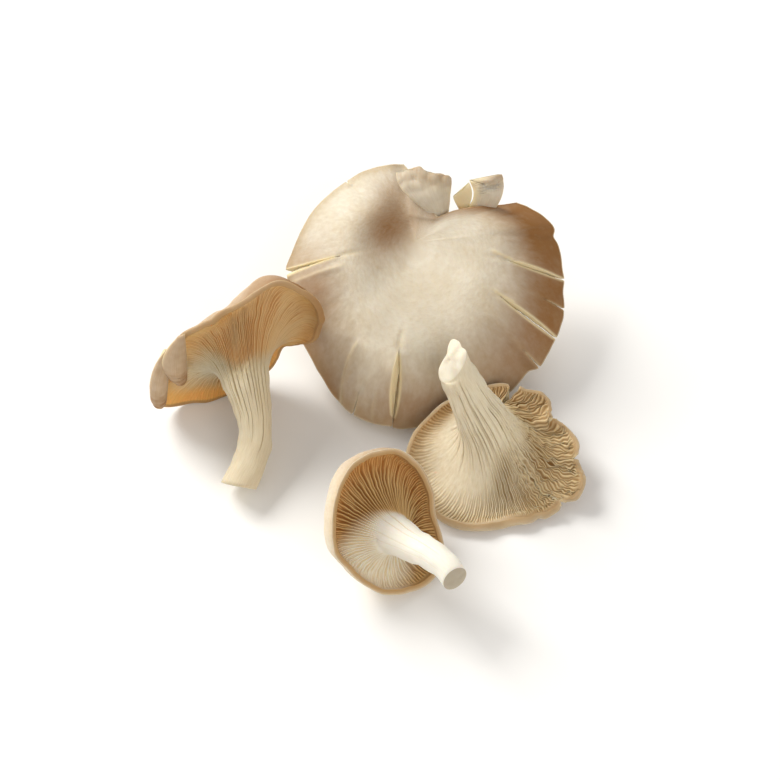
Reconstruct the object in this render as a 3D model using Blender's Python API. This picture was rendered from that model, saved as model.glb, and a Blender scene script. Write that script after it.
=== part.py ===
"""Oyster mushroom cluster: four picked mushrooms that lie loosely against each other.

Each mushroom grew as one piece and is one closed solid. A ball of faces is the blank: its south pole
becomes the middle of the cut foot, its lower rows the stem, the rows round its waist the gills and the rim,
and its upper rows the skin of the cap, up to the north pole in the middle of the cap.

Lengths in the tables are millimetres, angles are degrees. The mesh itself is in metres, +Z up.
"""

import math
from dataclasses import dataclass

import bmesh
import bpy
import numpy as np
from mathutils import Vector

MM = 0.001
SHIFT = (7.3, 12.2, 0.0)  # puts the middle of the cluster's footprint on the origin
COLUMNS = 80              # faces round each mushroom; every second column carries a gill
FOOT_ROW = 0.86           # ring on the cut face of the foot, as a part of its radius
STEM_ROWS = (0.0, 0.3, 0.6, 0.85)
GILL_ROWS = (0.0, 0.16, 0.34, 0.52, 0.7, 0.86, 1.0)
SKIN_ROWS = (1.0, 0.86, 0.68, 0.48, 0.26)
PROFILE_SAMPLES = 60      # points on each profile when a split shortens it
SHARP = math.radians(28)
LOBE_THICKNESS = 2.4
THINNED = 7.0             # distance before its hinge over which a lobe gets thin


@dataclass
class Split:
    """A tear that runs in from the rim."""

    angle: float
    reach: float          # distance from the cap's centre to the end of the tear
    before: float = 1.2   # half of the mouth on the side of the smaller angles
    after: float = 1.2
    lift: float = 0.0     # rise of one lip; positive lifts the side of the larger angles
    spread: float = 12.0  # angle over which the lifted lip settles


@dataclass
class Lobe:
    """A torn piece of the rim that bends up from a straight hinge."""

    start: float
    end: float
    hinge: tuple
    across: float         # direction in which the lobe leaves its hinge
    curl: float           # bend at its tip
    length: float
    lean: float = 0.0     # sideways slide for each millimetre of length
    widen: float = 0.0
    cup: float = 0.0      # rise of its two side edges
    middle: float = 0.0   # sideways place of its centre line at the hinge
    step: float = 0.0     # rise of the whole lobe just past its hinge


@dataclass
class Mushroom:
    """The sizes of one mushroom, in the frame of the whole cluster."""

    name: str
    apex: tuple           # middle of the cap's skin
    facing: tuple         # way in which the skin looks there
    right: tuple          # direction of angle 0 on the cap
    rim: tuple            # (angle, radius, drop towards the gills)
    margin: tuple         # (angle, slope of the skin at the rim)
    crown: tuple          # (angle, rise of the skin half way out)
    edge: float           # half of the thickness at the rim
    stem: tuple           # (x, y, z, radius) from the foot to the throat
    cut: tuple            # way in which the cut foot looks
    gill_depth: float
    flare: float          # pull of the stem on the gills, as part of their length
    sweep: float          # pull of the rim on the gills, as part of their length
    colour: tuple
    waves: tuple = ()     # (count round the rim, height, phase)
    splits: tuple = ()
    lobes: tuple = ()


LARGE = Mushroom(
    name="mushroom_large",
    apex=(8.8, 36.3, 40.3),
    facing=(0.0, -0.4226, 0.9063),
    right=(1.0, 0.0, 0.0),
    rim=(
        (1, 50.8, 11), (11, 47.5, 10), (20, 41.5, 9), (24, 38, 8), (31, 39.5, 4), (38, 31, 3), (43, 28.5, 3),
        (60, 26.5, 3), (68, 26, 3), (80, 25.5, 3), (95, 25.5, 3), (99.5, 29.8, 10), (110, 30.5, 9),
        (122, 32, 9), (141, 34.3, 10), (156, 37.3, 10.5), (169, 40.2, 11), (180, 43, 11.5), (191, 46.5, 12),
        (205, 49.5, 12.5), (221, 53, 12.5), (234, 57.2, 12.5), (245, 62.4, 12), (253, 64.9, 12),
        (261, 65.4, 12), (270, 65, 12), (283, 64.8, 12), (296, 64.3, 12), (309, 62, 12), (319, 60.7, 12),
        (325, 60, 12), (339, 57, 12), (348, 53.8, 11.5),
    ),
    margin=((0, 42), (90, 34), (180, 46), (270, 44)),
    crown=((0, 5.5), (45, 2.5), (80, 2.5), (105, 0), (150, 7), (200, 7.5), (250, 6), (300, 6)),
    edge=1.1,
    stem=((6.0, 44.0, 0.0, 11.0), (6.3, 43.5, 4.0, 10.0), (7.0, 42.0, 11.0, 9.6), (8.0, 40.0, 17.0, 10.0)),
    cut=(0.0, 0.0, -1.0),
    gill_depth=1.6,
    flare=0.42,
    sweep=0.5,
    colour=(0.72, 0.60, 0.45, 1.0),
    waves=((7, 0.7, 40), (11, 0.4, 10)),
    splits=(
        Split(98, 12.0, 4.0, 4.0),
        Split(50, 16.5, 8.0, 11.0),
        Split(24, 31.6, 1.2, 1.2),
        Split(347.5, 39.0, 0.9, 0.9, 1.4, 14),
        Split(327.5, 44.0, 0.7, 0.7, 1.8, 14),
        Split(262.5, 50.0, 0.9, 0.7, -1.4, 12),
        Split(194, 36.0, 1.0, 1.0, 1.2, 14),
    ),
    lobes=(
        Lobe(50, 98, (3.5, 12.8), 90, 50, 16.0, -0.1, 0.0, 0.0, 3.0, 1.0),
        Lobe(24, 43, (12.8, 10.4), 101, 60, 13.0, -0.3, 0.1, 2.0, 8.0, 0.0),
    ),
)

LEFT = Mushroom(
    name="mushroom_left",
    apex=(-53.9, 12.9, 31.4),
    facing=(-0.35, 0.935, -0.05),
    right=(0.936, 0.35, 0.0),
    rim=(
        (3, 28, 15.6), (13, 27.7, 15.6), (24, 26, 14.6), (31, 24, 12.6), (49, 22.5, 10.6), (70, 26.5, 10.6),
        (88, 31, 10.6), (106, 35.1, 10.6), (123, 39, 10.6), (130, 41.5, 10.6), (138, 42.5, 10.6),
        (142, 42.5, 10.6), (153, 40.6, 10.6), (162, 37.2, 10.6), (175, 31.8, 10.6), (186, 28.3, 10.6),
        (205, 26.4, 10.6), (214, 25, 10.6), (227, 23.6, 10.6), (234, 21.2, 10.6), (249, 20.6, 10.6),
        (265, 23.6, 11), (279, 29.4, 12.6), (291, 34, 13.6), (299, 35, 14.6), (310, 33.5, 15.6),
        (326, 31, 15.6),
    ),
    margin=((0, 75), (50, 45), (90, 35), (150, 30), (205, 24), (250, 34), (280, 48), (310, 75)),
    crown=((0, 0),),
    edge=1.0,
    stem=(
        (-52.4, -41.9, 6.2, 6.1), (-49.0, -34.6, 8.5, 5.9), (-46.9, -28.0, 12.0, 5.8),
        (-46.9, -21.7, 16.5, 6.0), (-48.2, -16.2, 20.8, 6.9), (-49.8, -10.6, 25.0, 8.4),
    ),
    cut=(-0.2, -0.84, -0.5),
    gill_depth=1.3,
    flare=0.4,
    sweep=0.4,
    colour=(0.76, 0.62, 0.42, 1.0),
    waves=((9, 0.8, 15),),
)

MEDIUM = Mushroom(
    name="mushroom_medium",
    apex=(39.0, -34.0, 0.4),
    facing=(0.0, 0.1564, -0.9877),
    right=(1.0, 0.0, 0.0),
    rim=(
        (3, 29.5, 9), (18, 32, 9), (27, 30.5, 8), (35, 27.5, 7), (46, 26, 6), (63, 23.4, 6), (82, 22.6, 6),
        (99, 24.2, 6), (114, 26.4, 6), (128, 29, 7), (150, 31.6, 8), (169, 33.2, 9), (183, 34.2, 10),
        (199, 33.6, 11), (223, 31, 12), (247, 29.1, 12), (260, 29.5, 12), (272, 29.7, 12), (283, 30, 12),
        (299, 31.5, 12), (312, 29.5, 11), (327, 28.5, 10), (339, 29, 10), (350, 29, 10),
    ),
    margin=((0, 50), (90, 55), (180, 52), (270, 52)),
    crown=((0, 0),),
    edge=1.3,
    stem=(
        (22.2, -15.4, 46.6, 5.9), (22.7, -16.6, 43.0, 6.1), (24.2, -17.9, 38.5, 6.6),
        (27.4, -20.7, 31.0, 7.4), (31.2, -24.0, 24.0, 9.0),
    ),
    cut=(-0.64, -0.19, 0.74),
    gill_depth=1.5,
    flare=0.42,
    sweep=0.42,
    colour=(0.66, 0.55, 0.38, 1.0),
    waves=((9, 0.8, 0),),
    splits=(
        Split(279.5, 27.2, 2.0, 3.5),
        Split(316.5, 25.0, 2.0, 2.0),
        Split(4.0, 26.0, 2.0, 2.0),
        Split(35.5, 23.5, 2.0, 2.0),
    ),
)

SMALL = Mushroom(
    name="mushroom_small",
    apex=(-11.6, -56.2, 12.9),
    facing=(-0.62, 0.55, -0.55),
    right=(1.0, 0.0, 0.0),
    rim=(
        (3, 21.5, 17.5), (15, 23, 19), (27, 27, 21), (39, 28.5, 22), (53, 28.5, 22), (67, 27.5, 21),
        (77, 27.3, 20), (88, 26.5, 18), (103, 24.7, 17), (123, 22.5, 16), (143, 22, 15.5), (164, 23.6, 15.5),
        (177, 24, 15.5), (190, 24.2, 15.5), (203, 25.2, 15.5), (219, 26.4, 15.5), (233, 27.6, 15.5),
        (250, 28, 15.5), (266, 27.4, 15.5), (283, 26.6, 15.5), (313, 24.5, 15.5), (330, 23.5, 15.5),
        (347, 22.3, 16),
    ),
    margin=((0, 98),),
    crown=((0, 0),),
    edge=1.5,
    stem=(
        (22.0, -88.0, 24.4, 4.6), (19.6, -84.4, 25.2, 4.8), (15.0, -80.0, 25.0, 5.1), (7.5, -73.7, 22.0, 5.8),
        (2.0, -68.2, 18.5, 7.0),
    ),
    cut=(0.5, -0.8, 0.2),
    gill_depth=1.3,
    flare=0.35,
    sweep=0.5,
    colour=(0.70, 0.56, 0.38, 1.0),
    waves=((5, 0.4, 0),),
)

CLUSTER = (LARGE, LEFT, MEDIUM, SMALL)


def unit(vector):
    """Return a vector, as an array, with length one."""
    array = np.asarray(vector, dtype=float)
    return array / np.linalg.norm(array)


def turn_between(angle, other):
    """Return the signed angle from one direction to another, between -180 and 180."""
    return (np.asarray(angle) - other + 180.0) % 360.0 - 180.0


def smooth_step(value):
    """Rise smoothly from 0 to 1 while the value goes from 0 to 1."""
    part = np.clip(value, 0.0, 1.0)
    return part * part * (3.0 - 2.0 * part)


def round_curve(knots, values, at):
    """Read a closed curve, given by values at angles, without overshooting them."""
    knots = np.asarray(knots, dtype=float) % 360.0
    order = np.argsort(knots)
    x = knots[order]
    y = np.asarray(values, dtype=float)[order]
    if len(x) == 1:
        return np.full(np.shape(at), y[0])
    x = np.concatenate([x - 360.0, x, x + 360.0])
    y = np.concatenate([y, y, y])
    rise = np.diff(y) / np.diff(x)
    pair = rise[:-1] * rise[1:]
    total = rise[:-1] + rise[1:]
    slope = np.zeros(len(x))
    slope[1:-1] = np.where(pair > 0.0, 2.0 * pair / np.where(total == 0.0, 1.0, total), 0.0)
    at = np.asarray(at, dtype=float) % 360.0
    k = np.searchsorted(x, at, side="right") - 1
    width = x[k + 1] - x[k]
    t = (at - x[k]) / width
    return (
        (2 * t**3 - 3 * t**2 + 1) * y[k]
        + (t**3 - 2 * t**2 + t) * width * slope[k]
        + (3 * t**2 - 2 * t**3) * y[k + 1]
        + (t**3 - t**2) * width * slope[k + 1]
    )


def bezier(points, t):
    """Return a cubic through four control points; t is broadcast against them."""
    a, b, c, d = points
    s = 1.0 - t
    return s**3 * a + 3 * s**2 * t * b + 3 * s * t**2 * c + t**3 * d


def cap_frame(mushroom):
    """Return the cap's three axes as rows; the third is the way in which the skin looks."""
    z = unit(mushroom.facing)
    x = np.asarray(mushroom.right, dtype=float)
    x = unit(x - x.dot(z) * z)
    return np.array([x, np.cross(z, x), z])


def column_angles(splits, count):
    """Return one angle for each column, with one on every split's end and on its two lips."""
    angles = np.arange(count) * 360.0 / count
    for split in splits:
        end = int(np.argmin(np.abs(turn_between(angles, split.angle))))
        before = split.angle - split.before
        after = split.angle + split.after
        angles[end] = split.angle
        lower = [k % count for k in range(end - 8, end) if turn_between(angles[k % count], before) > -0.4]
        upper = [k % count for k in range(end + 1, end + 9) if turn_between(angles[k % count], after) < 0.4]
        for k in lower or [(end - 1) % count]:
            place = 1 + (end - 1 - k) % count
            angles[k] = split.angle - split.before * place / max(len(lower), 1)
        for k in upper or [(end + 1) % count]:
            place = 1 + (k - end - 1) % count
            angles[k] = split.angle + split.after * place / max(len(upper), 1)
    return angles


def cut_radius(splits, angles, radius):
    """Return how far each column reaches, where a split shortens it."""
    reach = radius.copy()
    for split in splits:
        away = turn_between(angles, split.angle)
        mouth = np.where(away < 0.0, split.before, split.after)
        open_part = np.clip(np.abs(away) / mouth, 0.0, 1.0)
        reach = np.minimum(reach, split.reach + (radius - split.reach) * open_part)
    return reach


def warp(mushroom, points, angles, radius, weight):
    """Bend the finished cap: crown, waves, lifted lips and curled lobes, in the cap's own frame."""
    out = np.hypot(points[..., 0], points[..., 1])
    part = out / radius[:, None]
    turn = np.broadcast_to(angles[:, None], part.shape)
    crown = round_curve([a for a, _ in mushroom.crown], [v for _, v in mushroom.crown], angles)
    inner = np.clip(part, 0.0, 1.0)
    rise = crown[:, None] * 16.0 * inner**2 * (1.0 - inner) ** 2
    for count, height, phase in mushroom.waves:
        swing = np.sin(np.radians(count * turn + phase))
        rise = rise + height * swing * smooth_step((part - 0.5) / 0.5)
    for split in mushroom.splits:
        away = turn_between(turn, split.angle)
        side = np.where(np.sign(away) == np.sign(split.lift), 1.0, 0.0)
        torn = smooth_step((out - split.reach) / np.maximum(radius[:, None] - split.reach, 1.0))
        rise = rise + abs(split.lift) * side * torn * np.exp(-((away / split.spread) ** 2))
    points = points.copy()
    points[..., 2] += rise * weight
    for lobe in mushroom.lobes:
        mask = (angles >= lobe.start) & (angles <= lobe.end)
        points[mask] = curl_up(lobe, points[mask])
    return points


def curl_up(lobe, points):
    """Bend a torn lobe up about its hinge, and slide and widen it as it goes."""
    along = np.array([math.cos(math.radians(lobe.across)), math.sin(math.radians(lobe.across))])
    side = np.array([along[1], -along[0]])
    flat = points[..., :2] - np.asarray(lobe.hinge)
    s = flat @ along
    q = flat @ side
    past = np.clip(s, 0.0, None)
    bend = math.radians(lobe.curl) / lobe.length
    thin = smooth_step(1.0 + s / THINNED)
    rise = smooth_step(past / THINNED)
    skin = len(GILL_ROWS) + 1
    height = points[..., 2].copy()
    for column, out in enumerate(np.hypot(points[..., 0], points[..., 1])):
        over = np.interp(out[:skin], out[skin:][::-1], height[column, skin:][::-1])
        spare = np.clip(over - height[column, :skin] - LOBE_THICKNESS, 0.0, None)
        height[column, :skin] += spare * thin[column, :skin]
    lift = height + lobe.step * rise + lobe.cup * ((q - lobe.middle) / lobe.length) ** 2 * past / lobe.length
    s_new = np.minimum(s, 0.0) + np.sin(bend * past) / bend - lift * np.sin(bend * past)
    z_new = (1.0 - np.cos(bend * past)) / bend + lift * np.cos(bend * past)
    wide = 1.0 + lobe.widen * past / lobe.length
    q_new = lobe.middle + (q - lobe.middle) * wide + lobe.lean * past * rise
    moved = np.empty_like(points)
    moved[..., :2] = np.asarray(lobe.hinge) + s_new[..., None] * along + q_new[..., None] * side
    moved[..., 2] = z_new
    return moved


def stem_rings(mushroom, frame, angles, parts):
    """Return rings of points round the stem, one for each part of its length, and its last direction."""
    path = np.asarray(mushroom.stem, dtype=float)
    steps = np.linalg.norm(np.diff(path[:, :3], axis=0), axis=1)
    length = np.concatenate([[0.0], np.cumsum(steps)])
    length /= length[-1]
    slopes = np.gradient(path, length, axis=0)
    rings = []
    direction = None
    for part in parts:
        k = min(int(np.searchsorted(length, part, side="right")) - 1, len(path) - 2)
        width = length[k + 1] - length[k]
        t = (part - length[k]) / width
        centre = (
            (2 * t**3 - 3 * t**2 + 1) * path[k]
            + (t**3 - 2 * t**2 + t) * width * slopes[k]
            + (3 * t**2 - 2 * t**3) * path[k + 1]
            + (t**3 - t**2) * width * slopes[k + 1]
        )
        tangent = (
            (6 * t**2 - 6 * t) * (path[k] - path[k + 1]) / width
            + (3 * t**2 - 4 * t + 1) * slopes[k]
            + (3 * t**2 - 2 * t) * slopes[k + 1]
        )
        direction = unit(tangent[:3])
        turn = Vector(frame[2]).rotation_difference(Vector(direction)).to_matrix()
        x = np.array(turn @ Vector(frame[0]))
        y = np.array(turn @ Vector(frame[1]))
        spoke = np.cos(np.radians(angles))[:, None] * x + np.sin(np.radians(angles))[:, None] * y
        spoke = spoke * centre[3]
        flat = 1.0 - smooth_step(part / 0.25)
        plane = unit(flat * -unit(mushroom.cut) + (1.0 - flat) * direction)
        slide = -(spoke @ plane) / direction.dot(plane)
        rings.append(centre[:3] + spoke + slide[:, None] * direction)
    return rings, direction


def cap_rows(mushroom, frame, angles, ring, direction):
    """Return the rows of the gills, the rim and the skin in the frame of the cluster."""
    radius = round_curve([s[0] for s in mushroom.rim], [s[1] for s in mushroom.rim], angles)
    drop = round_curve([s[0] for s in mushroom.rim], [s[2] for s in mushroom.rim], angles)
    slope = np.radians(round_curve([s[0] for s in mushroom.margin], [s[1] for s in mushroom.margin], angles))
    reach = cut_radius(mushroom.splits, angles, radius)
    spoke = np.stack([np.cos(np.radians(angles)), np.sin(np.radians(angles)), np.zeros(len(angles))], axis=1)
    up = np.array([0.0, 0.0, 1.0])
    t = np.linspace(0.0, 1.0, PROFILE_SAMPLES)[None, :, None]

    inward = -np.cos(slope)[:, None] * spoke + np.sin(slope)[:, None] * up
    outside = np.sin(slope)[:, None] * spoke + np.cos(slope)[:, None] * up
    tip = (radius - mushroom.edge * (1.0 + np.sin(slope)))[:, None] * spoke - drop[:, None] * up
    skin_edge = tip + mushroom.edge * outside
    gill_edge = tip - mushroom.edge * outside
    throat = (ring - np.asarray(mushroom.apex)) @ frame.T
    up_stem = frame @ direction
    gap = np.linalg.norm(gill_edge - throat, axis=1)[:, None]
    skin = bezier(
        [
            np.zeros((len(angles), 1, 3)),
            (0.5 * radius[:, None] * spoke)[:, None],
            (skin_edge + 0.38 * radius[:, None] * inward)[:, None],
            skin_edge[:, None],
        ],
        t,
    )
    outer = [(gill_edge + mushroom.sweep * gap * inward)[:, None], gill_edge[:, None]]
    gills = bezier([throat[:, None], (throat + mushroom.flare * gap * up_stem)[:, None]] + outer, t)
    skin_rows = shortened(skin, reach / radius * np.linalg.norm(skin_edge[:, :2], axis=1), SKIN_ROWS)
    gill_rows = shortened(gills, reach / radius * np.linalg.norm(gill_edge[:, :2], axis=1), GILL_ROWS)
    bulge = mushroom.edge * np.where(reach < radius, 0.25, 1.0)
    rim = 0.5 * (gill_rows[:, -1] + skin_rows[:, 0]) + bulge[:, None] * spoke
    points = np.concatenate([gill_rows, rim[:, None], skin_rows], axis=1)
    weight = np.concatenate([smooth_step(np.asarray(GILL_ROWS) / 0.6), np.ones(1 + len(SKIN_ROWS))])
    points = warp(mushroom, points, angles, radius, weight)
    add_gills(mushroom, points, reach >= radius)
    return points @ frame + np.asarray(mushroom.apex)


def shortened(curves, reach, parts):
    """Read each curve at parts of its length, up to the distance that a split leaves it."""
    out = np.hypot(curves[..., 0], curves[..., 1])
    t = np.linspace(0.0, 1.0, curves.shape[1])
    rows = np.empty((curves.shape[0], len(parts), 3))
    for k, curve in enumerate(curves):
        climbing = np.maximum.accumulate(out[k])
        last = 1.0 if reach[k] >= climbing[-1] - 1e-6 else float(np.interp(reach[k], climbing, t))
        kept = 0.8 * last
        beyond = np.clip(np.asarray(parts) - kept, 0.0, None) / (1.0 - kept)
        at = np.minimum(parts, kept) + beyond * (last - kept)
        for axis in range(3):
            rows[k, :, axis] = np.interp(at, t, curve[:, axis])
    return rows


def add_gills(mushroom, points, whole):
    """Raise every second whole column of the gill side into a ridge and sink the ones between."""
    rows = len(GILL_ROWS)
    depth = mushroom.gill_depth * np.sin(np.pi * np.asarray(GILL_ROWS) ** 0.8).clip(0.0) ** 0.7
    along = np.gradient(points[:, :rows], axis=1)
    around = np.roll(points[:, :rows], -1, axis=0) - np.roll(points[:, :rows], 1, axis=0)
    normal = np.cross(around, along)
    normal /= np.maximum(np.linalg.norm(normal, axis=2, keepdims=True), 1e-9)
    step = np.linalg.norm(np.roll(points[:, :rows], -1, axis=0) - points[:, :rows], axis=2)
    room = np.minimum(step, np.roll(step, 1, axis=0))
    height = np.minimum(depth[None, :], 0.45 * room)
    height[:, -1] = 0.0
    height[~whole] = 0.0
    sign = np.where(np.arange(points.shape[0]) % 2 == 0, 1.0, -1.0)[:, None]
    points[:, :rows] += (0.5 * sign * height)[..., None] * normal


def blank(rows):
    """Return a ball of faces, with its points sorted into poles, rows and columns."""
    shape = bmesh.new()
    bmesh.ops.create_uvsphere(shape, u_segments=COLUMNS, v_segments=rows + 1, radius=1.0)
    shape.verts.ensure_lookup_table()
    place = np.array([v.co for v in shape.verts])
    row = np.rint((np.arcsin(np.clip(place[:, 2], -1, 1)) / math.pi + 0.5) * (rows + 1)).astype(int)
    column = np.rint(np.arctan2(place[:, 1], place[:, 0]) / (2 * math.pi) * COLUMNS).astype(int) % COLUMNS
    return shape, row, column


def build(mushroom, collection):
    """Shape one blank into a mushroom and add it to the collection."""
    frame = cap_frame(mushroom)
    angles = column_angles(mushroom.splits, COLUMNS)
    rings, direction = stem_rings(mushroom, frame, angles, STEM_ROWS + (1.0,))
    throat = rings.pop()
    foot = rings[0].mean(axis=0)
    stem = np.stack([foot + FOOT_ROW * (rings[0] - foot)] + rings, axis=1)
    cap = cap_rows(mushroom, frame, angles, throat, direction)
    grid = np.concatenate([stem, cap], axis=1)
    shape, row, column = blank(grid.shape[1])
    for vertex, r, c in zip(shape.verts, row, column):
        if r == 0:
            place = foot
        elif r == grid.shape[1] + 1:
            place = np.asarray(mushroom.apex)
        else:
            place = grid[c, r - 1]
        x, y, z = place
        vertex.co = MM * Vector((x + SHIFT[0], y + SHIFT[1], max(z, 0.0)))
    bmesh.ops.recalc_face_normals(shape, faces=shape.faces)
    if shape.calc_volume(signed=True) < 0.0:
        bmesh.ops.reverse_faces(shape, faces=shape.faces)
    mesh = bpy.data.meshes.new(mushroom.name)
    shape.to_mesh(mesh)
    shape.free()
    mesh.shade_smooth()
    mesh.set_sharp_from_angle(angle=SHARP)
    mesh.materials.append(flesh(mushroom))
    piece = bpy.data.objects.new(mushroom.name, mesh)
    collection.objects.link(piece)
    return piece


def flesh(mushroom):
    """Return the mushroom's own matt material."""
    material = bpy.data.materials.new(mushroom.name + "_flesh")
    material.use_nodes = True
    shader = material.node_tree.nodes["Principled BSDF"]
    shader.inputs["Base Color"].default_value = mushroom.colour
    shader.inputs["Roughness"].default_value = 0.6
    shader.inputs["Metallic"].default_value = 0.0
    return material


def main():
    """Build the four mushrooms in a collection of their own."""
    for old in list(bpy.data.objects):
        bpy.data.objects.remove(old, do_unlink=True)
    collection = bpy.data.collections.new("oyster_mushroom_cluster")
    bpy.context.scene.collection.children.link(collection)
    for mushroom in CLUSTER:
        build(mushroom, collection)


main()
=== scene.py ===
"""Four loose oyster mushrooms that lie against each other on a pale floor.

Each mushroom is one grown body of flesh. Its mesh starts as a closed drum: the middle of the lower end
becomes the middle of the cut foot, then come the stem, the gills, the rim and the skin of the cap, up to the
middle of the cap.

Lengths in the tables are millimetres and angles are degrees, in the frame of the mushroom's own cap.
"""

import logging
import math
from dataclasses import dataclass
from enum import Enum
from typing import Any

import bpy
import numpy as np
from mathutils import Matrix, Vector


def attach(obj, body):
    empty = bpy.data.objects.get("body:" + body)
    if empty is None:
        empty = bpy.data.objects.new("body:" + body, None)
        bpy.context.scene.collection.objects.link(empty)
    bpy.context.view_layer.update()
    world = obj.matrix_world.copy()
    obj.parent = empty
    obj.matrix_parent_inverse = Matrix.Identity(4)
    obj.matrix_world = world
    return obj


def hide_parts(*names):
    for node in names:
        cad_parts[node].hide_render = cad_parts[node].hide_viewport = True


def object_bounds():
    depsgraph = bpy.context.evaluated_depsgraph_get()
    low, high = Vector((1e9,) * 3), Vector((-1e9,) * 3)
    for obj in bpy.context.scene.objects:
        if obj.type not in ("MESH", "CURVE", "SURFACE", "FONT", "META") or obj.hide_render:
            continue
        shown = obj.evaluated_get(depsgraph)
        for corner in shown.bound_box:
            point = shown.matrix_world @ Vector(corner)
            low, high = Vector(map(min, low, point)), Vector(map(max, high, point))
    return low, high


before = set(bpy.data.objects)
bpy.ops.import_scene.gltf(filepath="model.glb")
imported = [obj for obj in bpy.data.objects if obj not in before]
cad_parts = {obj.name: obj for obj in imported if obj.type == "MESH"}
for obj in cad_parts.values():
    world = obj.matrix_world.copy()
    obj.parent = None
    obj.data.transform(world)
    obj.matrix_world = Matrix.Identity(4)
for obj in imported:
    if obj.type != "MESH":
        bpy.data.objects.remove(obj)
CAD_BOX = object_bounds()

LOG = logging.getLogger("oyster mushrooms")

MM = 0.001
SHIFT = np.array([7.3, 12.2, 0.0])   # puts the middle of the footprint on the origin
SMALLEST = 1e-9
INSET = 0.02                         # space kept between the looks and the solids' box
BESIDE = 7.0                         # distance beside a tear or crease over which the skin gives way

COLUMNS = 720
MOUTH_COLUMNS = 24                   # columns inside the mouth of each tear
MOUTH = 0.12                         # half of a tear's mouth before it gapes, in degrees

FOOT_PARTS = np.array([0.18, 0.4, 0.62, 0.8, 0.92, 0.98])
STEM_PARTS = np.linspace(0.0, 0.97, 26)
GILL_PARTS = np.linspace(0.0, 1.0, 48)
RIM_TURNS = np.radians(np.linspace(-75.0, 75.0, 7))
SKIN_PARTS = 1.0 - np.linspace(0.0, 0.985, 46) ** 1.15
PROFILE_SAMPLES = 160

FIRST_GILL = len(FOOT_PARTS) + len(STEM_PARTS)
FIRST_RIM = FIRST_GILL + len(GILL_PARTS)
FIRST_SKIN = FIRST_RIM + len(RIM_TURNS)
ROWS = FIRST_SKIN + len(SKIN_PARTS)
GILL_ROWS = slice(FIRST_GILL, FIRST_RIM)
RIM_ROWS = slice(FIRST_RIM, FIRST_SKIN)
SKIN_ROWS = slice(FIRST_SKIN, ROWS)

# Numbers from 0 to 1 that the finish reads at each point of a mesh. Three of them paint light and shade:
# the depth between the gills and in the stem's grooves, the browned and shaded places, and the glowing
# tint of thin gills.
MASKS = ("skin", "stem", "valley_shade", "rim", "torn", "brown_and_shade", "painted_glow_and_shade", "foot")

Array = np.ndarray
Triple = tuple[float, float, float]


def linear(code: str) -> tuple[float, float, float, float]:
    """Turn an sRGB hex colour into a linear one.

    Args:
        code: The colour as "#RRGGBB".

    Returns:
        Red, green, blue and alpha.
    """
    parts = [int(code[k:k + 2], 16) / 255.0 for k in (1, 3, 5)]
    red, green, blue = (p / 12.92 if p <= 0.04045 else ((p + 0.055) / 1.055) ** 2.4 for p in parts)
    return red, green, blue, 1.0


def unit(vector: Any) -> Array:
    """Return a vector, as an array, with length one."""
    array = np.asarray(vector, dtype=float)
    return array / np.linalg.norm(array)


def turn_between(angle: Any, other: Any) -> Array:
    """Return the signed angle from one direction to another, between -180 and 180."""
    return (np.asarray(angle) - other + 180.0) % 360.0 - 180.0


def smooth_step(value: Any) -> Array:
    """Rise smoothly from 0 to 1 while the value goes from 0 to 1."""
    part = np.clip(value, 0.0, 1.0)
    return part * part * (3.0 - 2.0 * part)


def bell(value: Any) -> Array:
    """Return 1 at nought, falling smoothly on both sides."""
    return np.exp(-np.square(value))


def hermite(t: Any, width: Any, ends: tuple, slopes: tuple) -> Array:
    """Return the value of a cubic from its values and slopes at two places.

    Args:
        t: How far from the first place to the second, from 0 to 1.
        width: Distance between the two places.
        ends: The two values.
        slopes: The two slopes.

    Returns:
        The value.
    """
    return (
        (2 * t**3 - 3 * t**2 + 1) * ends[0]
        + (t**3 - 2 * t**2 + t) * width * slopes[0]
        + (3 * t**2 - 2 * t**3) * ends[1]
        + (t**3 - t**2) * width * slopes[1]
    )


def round_curve(table: tuple, column: int, at: Array) -> Array:
    """Read a closed curve, given by rows of an angle and values, without overshooting them.

    Args:
        table: Rows whose first entry is the angle.
        column: Which entry of each row to read.
        at: The angles to read it at.

    Returns:
        One value for each angle.
    """
    knots = np.array([row[0] for row in table], dtype=float) % 360.0
    order = np.argsort(knots)
    x = knots[order]
    y = np.array([row[column] for row in table], dtype=float)[order]
    if len(x) == 1:
        return np.full(np.shape(at), y[0])
    x = np.concatenate([x - 360.0, x, x + 360.0])
    y = np.concatenate([y, y, y])
    rise = np.diff(y) / np.diff(x)
    pair = rise[:-1] * rise[1:]
    total = rise[:-1] + rise[1:]
    slope = np.zeros(len(x))
    slope[1:-1] = np.where(pair > 0.0, 2.0 * pair / np.where(total == 0.0, 1.0, total), 0.0)
    at = np.asarray(at, dtype=float) % 360.0
    k = np.searchsorted(x, at, side="right") - 1
    width = x[k + 1] - x[k]
    return hermite((at - x[k]) / width, width, (y[k], y[k + 1]), (slope[k], slope[k + 1]))


def bezier(points: list, t: Any) -> Array:
    """Return the points of a cubic with four control points.

    Args:
        points: The control points.
        t: Places along it, from 0 to 1, of a shape that fits theirs.

    Returns:
        The points at those places.
    """
    a, b, c, d = points
    s = 1.0 - t
    return s**3 * a + 3 * s**2 * t * b + 3 * s * t**2 * c + t**3 * d


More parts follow.
